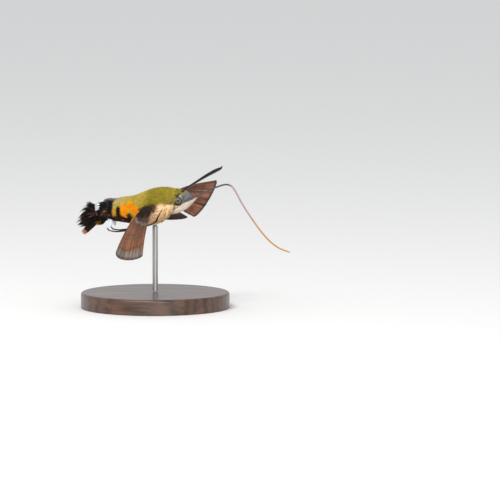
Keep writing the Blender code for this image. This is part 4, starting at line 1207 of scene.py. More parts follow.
class HAWKMOTH_OT_tail(bpy.types.Operator):
    """The tail's fan, the pencil below it, the fringes of the last rings and the white belly tufts"""

    bl_idname = "hawk_moth.tail"
    bl_label = "Tail"

    def execute(self, context):
        share = settings().coat.density
        tufts = Tufts(len(STRAND_TAPER))
        for seed, tier in enumerate(FAN_TIERS, start=41):
            tier_strands(tufts, FAN_HAIR, tier, int(44 * share), 2.7, 0.33, 0.09, seed)
        mesh = tufts.mesh("tail_fan_hair", STRAND_TAPER, 0.35)
        black = fur_material("tail hair", tip_markings("Tail tips", "black", "soot"), 0.6, 1.5, 0.6, 0.55)
        finish_piece("tail_fan_hair", mesh, [black], ["tail_fan"])
        tufts = Tufts(len(STRAND_TAPER))
        bundle_strands(tufts, PENCIL_COURSE, PENCIL_RADII, int(460 * share), 0.13, (-17.0, 178.0), 51, 0.9)
        mesh = tufts.mesh("tail_pencil_hair", STRAND_TAPER, 0.35)
        pink = fur_material("pencil hair", tip_markings("Pencil tips", "soot", "salmon"), 0.6, 1.4, 0.5)
        finish_piece("tail_pencil_hair", mesh, [pink], ["tail_pencil"])
        tufts = Tufts(len(STRAND_TAPER))
        bundle_strands(tufts, UNDER_COURSE, UNDER_RADII, int(260 * share), 0.11, (-14.2, 172.0), 53, 0.6)
        mesh = tufts.mesh("under_tail_hair", STRAND_TAPER, 0.3)
        brown = fur_material("under tail hair", tip_markings("Under tips", "soot", "tangerine"), 0.6, 1.2, 0.6)
        finish_piece("under_tail_hair", mesh, [brown])
        tufts = Tufts(len(STRAND_TAPER))
        for seed, tier in enumerate(REAR_TIERS, start=55):
            tier_strands(tufts, TORSO, tier, int(46 * share), 0.0, 0.05, 0.11, seed)
        tier_strands(tufts, FAN, END_TIER, int(46 * share), 0.0, 0.1, 0.11, 58)
        mesh = tufts.mesh("rear_fringes", STRAND_TAPER, 0.3)
        edges = fur_material("ring fringes", body_markings(), root=0.6, tip=1.4, variety=0.5, roughness=0.55)
        finish_piece("rear_fringes", mesh, [edges])
        tufts = Tufts(len(HAIR_TAPER))
        white = fur_material("white tuft hair", tip_markings("White tufts", "white", "white"), 0.95, 1.05, 0.1)
        for seed, (x_span, turn_span, reach) in enumerate(WHITE_PATCHES, start=90):
            for side in SIDES.values():
                span = sorted(side * turn for turn in turn_span)
                x, turn = scatter(TORSO, x_span, span, 240, seed)
                lying_tufts(tufts, "torso", TORSO, x, turn, 0.25, reach, 0.28, 0.12, 0.15, -1, seed + side)
        mesh = tufts.mesh("white_tufts", HAIR_TAPER, 0.3)
        finish_piece("white_tufts", mesh, [white])
        tufts = Tufts(len(STRAND_TAPER))
        for name, side in SIDES.items():
            course = [(x, side * y, z) for x, y, z in BELLY_TUFT_COURSE]
            bundle_strands(tufts, course, BELLY_TUFT_RADII, int(150 * share), 0.11, (-11.4, 150 * side), 60 + side)
        mesh = tufts.mesh("belly_tufts", STRAND_TAPER, 0.35)
        finish_piece("belly_tufts", mesh, [white])
        return {"FINISHED"}


# Wings


class Wing:
    """A wing's surface: along from root to margin, across from leading to trailing edge."""

    def __init__(self, form, pose, side, root):
        self.form = form
        self.pose = pose
        self.side = side
        self.root = np.array(root)

    def axes(self, along):
        """Unit directions along the span, along the chord and out of the upper face."""
        sweep, lift = (math.radians(each) for each in self.pose[:2])
        pitch = np.radians(self.pose[2] + (self.pose[3] - self.pose[2]) * along)
        span = np.array(
            [math.cos(lift) * math.sin(sweep), math.cos(lift) * math.cos(sweep), math.sin(lift)]
        )
        level = np.array([-math.cos(sweep), math.sin(sweep), 0.0])
        chord = level * np.cos(pitch)[:, None] - np.cross(span, level) * np.sin(pitch)[:, None]
        up = np.cross(span, chord)
        mirror = np.array([1, self.side, 1])
        return span * mirror, chord * mirror, up * mirror

    def point(self, along, across, height=0.0):
        along, across, height = np.broadcast_arrays(
            *(np.asarray(each, float) for each in (along, across, height))
        )
        form = self.form
        handles = np.array([form[key] for key in ("apex", "apex_handle", "margin_handle", "tornus")])
        rest = 1 - across
        weights = np.stack(
            [rest**3, 3 * across * rest**2, 3 * across**2 * rest, across**3], axis=-1
        )
        margin = weights @ handles
        bow = np.sin(math.pi * along)
        chord_bow = form["dorsum_bow"] * bow * across**3 - form["costa_bow"] * bow * rest**3
        root = form["root_chord"] * across
        along_span = margin[:, 0] * along
        along_chord = root + (margin[:, 1] - root) * along + chord_bow
        span, chord, up = self.axes(along)
        camber = form["camber"] * np.sin(math.pi * across) * np.sin(math.pi * along * 0.6)
        lifted = form["arch"] * bow + camber + height
        return self.root + span * along_span[:, None] + chord * along_chord[:, None] + up * lifted[:, None]


def make_wing_surface(kind, name):
    side = SIDES[name]
    root = np.array(WING_ROOT) * (1, side, 1) + (0, 0, FLIGHT_HEIGHT)
    fore = Wing(FOREWING, FOREWING_POSES[name], side, root)
    if kind == "forewing":
        return fore
    _, chord, up = fore.axes(np.zeros(1))
    behind = root + chord[0] * HINDWING_SETBACK - up[0] * HINDWING_UNDER
    return Wing(HINDWING, HINDWING_POSES[name], side, behind)


def vein_courses(wing):
    """Each main vein as shares along and across: the middle ones start at the end of the cell."""
    veins = wing.form["veins"]
    middle = range(3, veins - 2)
    courses = []
    for vein in range(veins):
        crest = (vein + 0.6) / (veins + 0.1)
        start = CELL_END if vein in middle else 0.02
        along = np.linspace(start, 0.995, 26)
        courses.append((along, np.full(26, crest)))
    low, high = (2.6 / (veins + 0.1)), ((veins - 1.4) / (veins + 0.1))
    across = np.linspace(low, high, 14)
    courses.append((CELL_END - 0.02 * np.sin(np.linspace(0, math.pi, 14)), across))
    courses.append((np.linspace(0.02, 0.99, 30), np.full(30, 0.004)))
    return courses


def wing_mesh(name, wing, kind):
    """The thin membrane with upper and lower faces."""
    sizes = settings().wings
    shape = bmesh.new()
    flip = wing.side < 0

    def place(column, row):
        return wing.point(column, 1 - row if flip else row)

    shaped_grid(shape, 70, 44, place)
    mesh = bpy.data.meshes.new(name)
    shape.to_mesh(mesh)
    shape.free()
    points = np.zeros(len(mesh.loops) * 2, np.float32)
    mesh.uv_layers[0].uv.foreach_get("vector", points)
    if flip:
        points[1::2] = 1 - points[1::2]
        mesh.uv_layers[0].uv.foreach_set("vector", points)
    source = bpy.data.objects.new(name, mesh)
    bpy.context.scene.collection.objects.link(source)
    solid = source.modifiers.new("Thickness", "SOLIDIFY")
    solid.thickness = sizes.thickness
    solid.offset = 0.0
    solid.material_offset = 1
    for face in ("upper", "under"):
        source.data.materials.append(wing_finish(f"{kind} {face}"))
    graph = bpy.context.evaluated_depsgraph_get()
    made = bpy.data.meshes.new_from_object(source.evaluated_get(graph))
    bpy.data.objects.remove(source)
    made.shade_smooth()
    return made


def wing_group():
    """Colour of a wing from root to margin: dark root, streaked middle, two dark bands, paler margin, and where asked a
    painted highlight along a fold past the root.
    """
    found = bpy.data.node_groups.get("Wing pattern")
    if found:
        return found
    white = (1, 1, 1, 1)
    group, given, out = new_group(
        "Wing pattern",
        [
            ("Span", "NodeSocketFloat", 0.5),
            ("Chord", "NodeSocketFloat", 0.5),
            ("Root colour", "NodeSocketColor", white),
            ("Middle colour", "NodeSocketColor", white),
            ("Margin colour", "NodeSocketColor", white),
            ("Band colour", "NodeSocketColor", white),
            ("Root end", "NodeSocketFloat", 0.25),
            ("Margin start", "NodeSocketFloat", 0.75),
            ("Bands", "NodeSocketFloat", 0.6),
            ("Streaks", "NodeSocketFloat", 0.5),
            ("Fold highlight", "NodeSocketFloat", 0.0),
        ],
        [("Colour", "NodeSocketColor"), ("Height", "NodeSocketFloat")],
    )
    coarse = combine(group, maths(group, "MULTIPLY", given["Span"], 4.0), maths(group, "MULTIPLY", given["Chord"], 4.0))
    wobble = maths(group, "SUBTRACT", cloud(group, coarse, 1.6, 4.0, 0.65), 0.5)
    span = maths(group, "MULTIPLY_ADD", wobble, 0.16, given["Span"])
    slanted = maths(group, "MULTIPLY_ADD", given["Chord"], 0.16, span)
    root_edge = maths(group, "ADD", given["Root end"], 0.12)
    root_mask = between(group, slanted, given["Root end"], root_edge)
    result = blend(group, root_mask, given["Root colour"], given["Middle colour"])
    # With a fold: the root's dark colour runs on a little past the root's end, and a thin painted highlight in the
    # margin colour runs along the fold.
    dusk_edge = maths(group, "ADD", root_edge, 0.14)
    dusk = maths(group, "MULTIPLY", between(group, slanted, root_edge, dusk_edge, 1.0, 0.0), given["Fold highlight"])
    result = blend(group, maths(group, "MULTIPLY", dusk, 0.55), result, given["Root colour"])
    fold_highlight = maths(group, "ABSOLUTE", maths(group, "SUBTRACT", slanted, maths(group, "ADD", given["Root end"], 0.05)))
    fold_highlight = maths(group, "MULTIPLY", between(group, fold_highlight, 0.008, 0.04, 1.0, 0.0), given["Fold highlight"])
    result = blend(group, maths(group, "MULTIPLY", fold_highlight, 0.85), result, given["Margin colour"])
    margin_edge = maths(group, "ADD", given["Margin start"], 0.12)
    edge = between(group, span, given["Margin start"], margin_edge)
    result = blend(group, edge, result, given["Margin colour"])
    for place, wide, slant in ((0.3, 0.02, 0.1), (0.6, 0.014, -0.06), (0.66, 0.01, -0.06), (0.8, 0.02, -0.1)):
        line = maths(group, "MULTIPLY_ADD", given["Chord"], slant, span)
        line = maths(group, "ABSOLUTE", maths(group, "SUBTRACT", line, place))
        mask = between(group, line, wide * 0.4, wide * 1.8, 1.0, 0.0)
        mask = maths(group, "MULTIPLY", mask, given["Bands"])
        result = blend(group, mask, result, given["Band colour"])
    streak = combine(group, maths(group, "MULTIPLY", given["Span"], 2.5), maths(group, "MULTIPLY", given["Chord"], 36.0))
    streaks = between(group, cloud(group, streak, 1.0, 3.0, 0.6), 0.35, 0.62, 1.0, 0.0)
    streaks = maths(group, "MULTIPLY", streaks, given["Streaks"])
    result = blend(group, streaks, result, given["Band colour"])
    broad = combine(group, maths(group, "MULTIPLY", given["Span"], 1.1), maths(group, "MULTIPLY", given["Chord"], 11.0))
    broad = between(group, cloud(group, broad, 1.0, 2.0, 0.5), 0.38, 0.62)
    light = maths(group, "MULTIPLY_ADD", broad, maths(group, "MULTIPLY", given["Streaks"], 1.1), 1.0)
    light = maths(group, "SUBTRACT", light, maths(group, "MULTIPLY", given["Streaks"], 0.5))
    result = blend(group, 1.0, result, combine(group, light, light, light), "MULTIPLY")
    rim = between(group, given["Span"], 0.955, 0.99)
    result = blend(group, maths(group, "MULTIPLY", rim, 0.7), result, given["Band colour"])
    scales = combine(group, maths(group, "MULTIPLY", given["Span"], 190.0), maths(group, "MULTIPLY", given["Chord"], 110.0))
    cells = node(group, "ShaderNodeTexVoronoi", {"Vector": scales, "Scale": 1.0, "Randomness": 0.55})
    speck = node(group, "ShaderNodeSeparateColor", {"Color": cells.outputs["Color"]}).outputs[0]
    level = maths(group, "MULTIPLY_ADD", speck, 0.32, 0.84)
    result = blend(group, 1.0, result, combine(group, level, level, level), "MULTIPLY")
    group.links.new(result, out["Colour"])
    group.links.new(cells.outputs["Distance"], out["Height"])
    return group


# Wing finishes: root, middle, margin and band colours, end of the root, start of the margin, bands, streaks, and the
# strength of the painted highlight along a fold
WING_FINISHES = {
    "forewing upper": ("umber", "rust", "ash", "umber", 0.42, 0.82, 0.4, 0.5, 1.0),
    "forewing under": ("umber", "russet", "ash", "umber", 0.06, 0.93, 0.25, 0.75, 0.0),
    "hindwing upper": ("soot", "tangerine", "umber", "umber", 0.1, 0.8, 0.12, 0.25, 0.0),
    "hindwing under": ("umber", "chestnut", "umber", "umber", 0.2, 0.82, 0.3, 0.4, 0.0),
}


def wing_finish(name):
    """A scaled wing face with the pattern over its own map."""
    found = bpy.data.materials.get(name)
    if found:
        return found
    material, tree, shader = new_material(name)
    root, middle, margin, band, root_end, margin_start, bands, streaks, fold_highlight = WING_FINISHES[name]
    uv = node(tree, "ShaderNodeUVMap", uv_map="UVMap").outputs[0]
    parts = node(tree, "ShaderNodeSeparateXYZ", {"Vector": uv}).outputs
    values = {
        "Span": parts[0],
        "Chord": parts[1],
        "Root colour": shade_of(root),
        "Middle colour": shade_of(middle),
        "Margin colour": shade_of(margin),
        "Band colour": shade_of(band),
        "Root end": root_end,
        "Margin start": margin_start,
        "Bands": bands,
        "Streaks": streaks,
        "Fold highlight": fold_highlight,
    }
    made = use_group(tree, wing_group(), values)
    feed(tree, shader["Base Color"], made["Colour"])
    feed(tree, shader["Roughness"], between(tree, made["Height"], 0.0, 0.6, 0.5, 0.7))
    bump = node(tree, "ShaderNodeBump", {"Height": made["Height"], "Distance": 0.00004, "Strength": 0.5})
    feed(tree, shader["Normal"], bump.outputs[0])
    shader["Specular IOR Level"].default_value = 0.25
    return material


def vein_material():
    found = bpy.data.materials.get("wing veins")
    if found:
        return found
    material, tree, shader = new_material("wing veins")
    where = node(tree, "ShaderNodeTexCoord").outputs["Object"]
    mottle = cloud(tree, where, 900.0, 3.0)
    feed(tree, shader["Base Color"], blend(tree, mottle, shade_of("umber"), shade_of("rust")))
    feed(tree, shader["Roughness"], between(tree, mottle, 0.3, 0.7, 0.45, 0.6))
    return material


def margin_tufts(tufts, wing, count, trailing, seed):
    """Fringe scales that stand out from the outer margin and the trailing edge."""
    draw = np.random.default_rng(seed)
    fringe = settings().wings.fringe / MM
    share = np.linspace(0, 1, tufts.rows)[None, :]
    for edge, amount in (("outer", count), ("trailing", count // 2)):
        place = np.sort(draw.random(amount))
        along = np.full(amount, 0.985) if edge == "outer" else 0.12 + 0.88 * place
        across = place if edge == "outer" else np.full(amount, 0.985)
        root = wing.point(along, across)
        step = 0.01
        if edge == "outer":
            out = unit(wing.point(along + step, across) - root)
        else:
            out = unit(wing.point(along, across + step) - root)
        span, chord, up = wing.axes(along)
        drift = unit(out + chord * draw.normal(0.1, 0.07, (amount, 1)) + span * draw.normal(0.15, 0.06, (amount, 1)))
        reach = fringe * draw.uniform(0.8, 1.1, amount) * (0.5 + 0.5 * np.sin(math.pi * place) ** 0.4)
        if edge == "trailing":
            reach *= trailing
        lift = up * draw.normal(0, 0.05, (amount, 1))
        paths = root[:, None, :] + drift[:, None, :] * (reach[:, None] * share)[:, :, None]
        paths = paths + lift[:, None, :] * (share**2)[:, :, None]
        places = np.stack([along, across], axis=-1)
        maps = np.stack([0.05 + 0.9 * place, np.full(amount, 0.2 if edge == "outer" else 0.6)], axis=-1)
        tufts.add(paths, np.full(amount, 0.09), up + 0 * paths[:, 0], places, maps, seed)


def root_tufts(tufts, wing, count, seed):
    """Hair that spreads from the wing's root over both faces."""
    draw = np.random.default_rng(seed)
    share = np.linspace(0, 1, tufts.rows)[None, :]
    for face in (1, -1):
        along = 0.06 + 0.2 * draw.random(count) ** 1.6
        across = draw.random(count)
        reach = draw.uniform(0.05, 0.1, count)
        sweep = draw.normal(0.03, 0.05, count)
        a = along[:, None] + reach[:, None] * share
        c = across[:, None] + sweep[:, None] * share
        height = face * (0.06 + 0.16 * share * draw.uniform(0.3, 1, (count, 1)))
        paths = wing.point(a.ravel(), c.ravel(), (height + 0 * a).ravel()).reshape(count, tufts.rows, 3)
        up = wing.axes(along)[2] * face
        places = np.stack([along, across], axis=-1)
        maps = np.stack([0.05 + 0.9 * across, 0.75 + 0.2 * face * along], axis=-1)
        tufts.add(paths, np.full(count, 0.13), up, places, maps, seed + face)


class WingOperator:
    """What both pairs of wings share."""

    kind = "forewing"

    def execute(self, context):
        sizes = settings().wings
        for name, side in SIDES.items():
            wing = make_wing_surface(self.kind, name)
            node_name = f"{self.kind}_{name}"
            mesh = wing_mesh(node_name + "_membrane", wing, self.kind)
            finish_piece(mesh.name, mesh, [], [node_name])
            shape = bmesh.new()
            for along, across in vein_courses(wing):
                radii = sizes.vein / MM * (1 - 0.68 * along)
                add_tube(shape, wing.point(along, across), radii, 6)
            veins = bmesh_to_mesh(shape, node_name + "_veins")
            finish_piece(veins.name, veins, [vein_material()])
            tufts = Tufts(len(SCALE_TAPER))
            margin_tufts(tufts, wing, int(520 * wing.form["apex"][0] / 12), self.trailing_fringe, 70 + side)
            root_tufts(tufts, wing, 420, 80 + side)
            fringe = tufts.mesh(node_name + "_fringe", SCALE_TAPER, 0.2)
            finish_piece(fringe.name, fringe, [self.fringe_material()])
        return {"FINISHED"}

    def fringe_material(self):
        name = self.kind + " fringe"
        base = "tangerine" if self.kind == "hindwing" else "umber"
        markings = markings_group(name, base, ((self.tip_colour, 1.0, 0.5, 0.3, 9.0, 0, 0.3, 1.0),), 0.05)
        return fur_material(name, markings, root=0.8, tip=1.2, variety=0.5)


class HAWKMOTH_OT_forewings(WingOperator, bpy.types.Operator):
    """The forewings: thin membranes with veins and fringes"""

    bl_idname = "hawk_moth.forewings"
    bl_label = "Forewings"
    kind = "forewing"
    slot_name = "wing"
    tip_colour = "ash"
    trailing_fringe = 1.0


class HAWKMOTH_OT_hindwings(WingOperator, bpy.types.Operator):
    """The hindwings: thin membranes with veins and fringes"""

    bl_idname = "hawk_moth.hindwings"
    bl_label = "Hindwings"
    kind = "hindwing"
    slot_name = "hindwing"
    tip_colour = "umber"
    trailing_fringe = 2.3


# Eyes, feelers, tongue and legs


def eye_material(name, side):
    """A faceted eye with a dark false pupil that faces out and a pale rim."""
    material, tree, shader = new_material(name)
    where = node(tree, "ShaderNodeTexCoord").outputs["Object"]
    centre = Vector(EYE_CENTRE) * Vector((1, side, 1)) + Vector((0, 0, FLIGHT_HEIGHT))
    from_centre = node(
        tree,
        "ShaderNodeMapping",
        {"Vector": where, "Location": tuple(-centre[i] / EYE_RADII[i] for i in range(3)),
         "Scale": tuple(1 / (radius * MM) for radius in EYE_RADII)},
    ).outputs[0]
    facing = node(
        tree, "ShaderNodeVectorMath", {0: from_centre, 1: (0.2, side * 0.975, 0.1)}, operation="DOT_PRODUCT"
    ).outputs["Value"]
    stain = cloud(tree, where, 1500.0, 2.0)
    rim = blend(tree, stain, (0.008, 0.006, 0.004, 1), (0.025, 0.018, 0.01, 1))
    base = blend(tree, between(tree, facing, 0.75, 0.82), rim, shade_of("eye"))
    ring = maths(tree, "ABSOLUTE", maths(tree, "SUBTRACT", facing, 0.885))
    ring = between(tree, ring, 0.008, 0.03, 0.75, 0.0)
    base = blend(tree, ring, base, (0.03, 0.026, 0.014, 1))
    pupil = between(tree, facing, 0.935, 0.955)
    base = blend(tree, pupil, base, (0.0015, 0.0015, 0.0015, 1))
    feed(tree, shader["Base Color"], base)
    cells = node(tree, "ShaderNodeTexVoronoi", {"Vector": where, "Scale": 11000.0, "Randomness": 0.15})
    bump = node(
        tree, "ShaderNodeBump", {"Height": cells.outputs["Distance"], "Distance": 0.00002, "Strength": 0.35}
    )
    bump.invert = True
    feed(tree, shader["Normal"], bump.outputs[0])
    feed(tree, shader["Roughness"], between(tree, stain, 0.3, 0.7, 0.3, 0.42))
    shader["Specular IOR Level"].default_value = 0.35
    shader["Coat Weight"].default_value = 0.1
    shader["Coat Roughness"].default_value = 0.12
    return material


class HAWKMOTH_OT_eyes(bpy.types.Operator):
    """The two faceted eyes"""

    bl_idname = "hawk_moth.eyes"
    bl_label = "Eyes"

    def execute(self, context):
        for name, side in SIDES.items():
            shape = bmesh.new()
            bmesh.ops.create_uvsphere(shape, u_segments=56, v_segments=36, radius=MM)
            bmesh.ops.scale(shape, vec=EYE_RADII, verts=shape.verts)
            centre = Vector(EYE_CENTRE) * Vector((1, side, 1)) + Vector((0, 0, FLIGHT_HEIGHT))
            bmesh.ops.translate(shape, vec=centre * MM, verts=shape.verts)
            mesh = bmesh_to_mesh(shape, f"eye_{name}_globe")
            material = eye_material(f"faceted eye {name}", side)
            finish_piece(mesh.name, mesh, [material], ["eye_" + name])
        return {"FINISHED"}


def tube_material(name, zones, bands, light_side, roughness):
    """A ringed tube on its own map: zones of a start and two colours, one of them on the side that faces a given
    direction. On the tongue that colour is a painted highlight; on the antennae it is their paler underside.
    """
    found = bpy.data.materials.get(name)
    if found:
        return found
    material, tree, shader = new_material(name)
    uv = node(tree, "ShaderNodeUVMap", uv_map="UVMap").outputs[0]
    around, along, _ = node(tree, "ShaderNodeSeparateXYZ", {"Vector": uv}).outputs
    normal = node(tree, "ShaderNodeTexCoord").outputs["Normal"]
    facing = node(
        tree, "ShaderNodeVectorMath", {0: normal, 1: light_side[:3]}, operation="DOT_PRODUCT"
    ).outputs["Value"]
    lit = between(tree, facing, light_side[3], light_side[3] + 0.35)
    result = None
    for start, pale, dark in zones:
        both = blend(tree, lit, dark, pale)
        if result is None:
            result = both
        else:
            result = blend(tree, between(tree, along, start - 0.04, start + 0.04), result, both)
    mottle = cloud(tree, combine(tree, maths(tree, "MULTIPLY", along, 40.0), around), 2.0, 3.0)
    result = blend(tree, maths(tree, "MULTIPLY", mottle, 0.3), result, (0.03, 0.02, 0.015, 1))
    ring = maths(tree, "FRACT", maths(tree, "MULTIPLY", along, bands))
    ring = maths(tree, "ABSOLUTE", maths(tree, "SUBTRACT", ring, 0.5))
    dark = between(tree, ring, 0.34, 0.5, 0.0, 0.4)
    result = blend(tree, dark, result, (0.01, 0.008, 0.008, 1))
    feed(tree, shader["Base Color"], result)
    feed(tree, shader["Roughness"], between(tree, mottle, 0.3, 0.7, roughness - 0.08, roughness + 0.08))
    bump = node(tree, "ShaderNodeBump", {"Height": ring, "Distance": 0.00003, "Strength": 0.5})
    bump.invert = True
    feed(tree, shader["Normal"], bump.outputs[0])
    shader["Specular IOR Level"].default_value = 0.2
    return material


class HAWKMOTH_OT_antennae(bpy.types.Operator):
    """The clubbed, ringed antennae with their small hooks"""

    bl_idname = "hawk_moth.antennae"
    bl_label = "Antennae"

    def execute(self, context):
        rings = 64
        share = np.linspace(0, 1, rings * 3 + 1)
        knots = (0.0, 0.35, 0.72, 0.9, 1.0)
        swell = smooth(knots, [[each] for each in (0.2, 0.25, 0.41, 0.34, 0.07)], share)[:, 0]
        radii = swell * (1 + 0.07 * np.cos(share * rings * math.tau))
        zones = [(0.0, shade_of("feeler_pale"), shade_of("feeler"))]
        material = tube_material("ringed antenna", zones, float(rings), (0.45, 0.0, -0.89, 0.6), 0.55)
        for name, side in SIDES.items():
            root = np.array(ANTENNA_ROOT) * (1, side, 1) + (0, 0, FLIGHT_HEIGHT)
            tip = np.array(ANTENNA_TIPS[name]) + (0, 0, FLIGHT_HEIGHT)
            path = root + (tip - root) * share[:, None]
            hook = 0.5 * np.clip((share - 0.93) / 0.07, 0, 1) ** 1.5
            left_to_rise = 1 - np.minimum(share / ANTENNA_BOW_REACHED, 1)
            path[:, 0] -= hook * 0.5
            path[:, 2] += hook * 0.6 + ANTENNA_BOW * (1 - left_to_rise**2) * (1 - share**4)
            shape = bmesh.new()
            add_tube(shape, path, radii, 14)
            mesh = bmesh_to_mesh(shape, f"antenna_{name}_rings")
            finish_piece(mesh.name, mesh, [material], ["antenna_" + name])
        return {"FINISHED"}


class HAWKMOTH_OT_tongue(bpy.types.Operator):
    """The long tongue in one length"""

    bl_idname = "hawk_moth.tongue"
    bl_label = "Tongue"

    def execute(self, context):
        steps = 260
        course = [(x, 0.0, z + FLIGHT_HEIGHT) for x, z in TONGUE_COURSE]
        share = np.linspace(0, 1, steps + 1)
        path = smooth(range(len(course)), course, share * (len(course) - 1))
        radii = (0.235 - 0.055 * share) * (1 - 0.6 * np.clip((share - 0.985) / 0.015, 0, 1))
        shape = bmesh.new()
        add_tube(shape, path, radii, 16)
        mesh = bmesh_to_mesh(shape, "tongue_tube")
        base, sheen, tan = shade_of("tongue_base"), shade_of("tongue_highlight"), shade_of("tongue")
        # Past the bend, a painted highlight on the side facing forward and up; salmon on the side turned away.
        zones = [(0.0, base, base), (0.43, sheen, shade_of("salmon")), (0.68, tan, tan)]
        material = tube_material("ringed tongue", zones, 150.0, (0.8, 0.0, 0.6, -0.35), 0.42)
        finish_piece(
            "tongue_tube", mesh, [material], [f"proboscis_{index}" for index in range(1, 5)]
        )
        return {"FINISHED"}


def over_torso(places, clearance, side):
    """Points over the torso at places given along x and in degrees below its side."""
    places = np.asarray(places, float)
    turn = side * (90 + places[:, 1])
    return TORSO.point(places[:, 0], turn, -clearance)


def leg_material(base):
    """Skin of a leg with a fine scaly grain, mottled with a darker brown."""
    name = f"scaled {base} leg"
    found = bpy.data.materials.get(name)
    if found:
        return found
    material, tree, shader = new_material(name)
    where = node(tree, "ShaderNodeTexCoord").outputs["Object"]
    mottle = cloud(tree, where, 1400.0, 4.0)
    darker = blend(tree, 0.35, shade_of(base), shade_of("umber"))
    feed(tree, shader["Base Color"], blend(tree, between(tree, mottle, 0.4, 0.65), darker, shade_of(base)))
    cells = node(tree, "ShaderNodeTexVoronoi", {"Vector": where, "Scale": 9000.0}).outputs["Distance"]
    feed(tree, shader["Roughness"], between(tree, cells, 0.0, 0.6, 0.5, 0.75))
    bump = node(tree, "ShaderNodeBump", {"Height": cells, "Distance": 0.00003, "Strength": 0.6})
    feed(tree, shader["Normal"], bump.outputs[0])
    return material


# Radius of a leg's segment at its start and end, and how much it swells between
THIGH = (0.27, 0.2, 0.25)
SHIN = (0.17, 0.14, 0.15)
FOOT_JOINT = (0.094, 0.127, 0.1)
FOOT = (0.11, 0.1, 0.0)


def segment_radius(form, share):
    start, end, swell = form
    return (start + (end - start) * share) * (1 + swell * np.sin(math.pi * share**0.7))


def add_segment(shape, path, form):
    """One segment of a leg: thin at its ends, fullest a third of the way along."""
    path = np.asarray(path, float)
    fine = smooth(range(len(path)), path, np.linspace(0, len(path) - 1, 18))
    radii = segment_radius(form, np.linspace(0, 1, 18))
    radii[0] *= 0.7
    radii[-1] *= 0.7
    add_tube(shape, fine, radii, 10)


def add_foot(shape, path):
    """Five short joints and a pair of claws."""
    path = np.asarray(path, float)
    knots = range(len(path))
    for joint in range(5):
        part = smooth(knots, path, np.linspace(joint, joint + 0.92, 6) / 5 * (len(path) - 1))
        add_segment(shape, part, FOOT_JOINT)
    ahead = unit(path[-1] - path[-2])
    across = unit(np.cross(ahead, (0.0, 0.0, 1.0)))
    for side in (-1, 1):
        claw = [path[-1], path[-1] + ahead * 0.12 + across * side * 0.08]
        claw.append(path[-1] + ahead * 0.24 + across * side * 0.07 - np.array((0, 0, 0.06)))
        add_tube(shape, smooth(range(3), claw, np.linspace(0, 2, 6)), np.linspace(0.045, 0.01, 6), 6)


def add_spurs(shape, path, at, reach):
    """A pair of spurs from a place of the shin."""
    path = np.asarray(path, float)
    root = smooth(range(len(path)), path, [at * (len(path) - 1)])[0]
    ahead = unit(path[-1] - path[0])
    across = unit(np.cross(ahead, (0.3, 0.1, 1.0)))
    for side in (-1, 1):
        tip = root + ahead * reach + across * side * reach * 0.35
        add_tube(shape, np.linspace(root, tip, 6), np.linspace(0.07, 0.015, 6), 6)


def leg_tufts(tufts, path, form, count, dark, seed):
    """Scales along a leg, lying towards the foot."""
    draw = np.random.default_rng(seed)
    path = np.asarray(path, float)
    knots = range(len(path))
    share = np.linspace(0, 1, tufts.rows)[None, :]
    place = draw.random(count) * (len(path) - 1.1)
    root = smooth(knots, path, place)
    ahead = unit(smooth(knots, path, place + 0.1) - root)
    angle = draw.uniform(0, math.tau, count)
    across = unit(np.cross(ahead, (0.2, 0.3, 1.0)))
    over = np.cross(across, ahead)
    out = across * np.cos(angle)[:, None] + over * np.sin(angle)[:, None]
    reach = draw.uniform(0.25, 0.5, count)[:, None]
    radius = segment_radius(form, place / (len(path) - 1))[:, None]
    rise = radius * 0.95 + (0.03 + 0.07 * draw.random((count, 1))) * share
    paths = root[:, None] + out[:, None] * rise[:, :, None] + ahead[:, None] * (reach * share)[:, :, None]
    places = np.stack([place + 20.0 * dark, angle * 28], axis=-1)
    maps = np.stack([0.02 + 0.96 * draw.random(count), 0.02 + 0.96 * draw.random(count)], axis=-1)
    tufts.add(paths, np.full(count, 0.09), out, places, maps, seed)


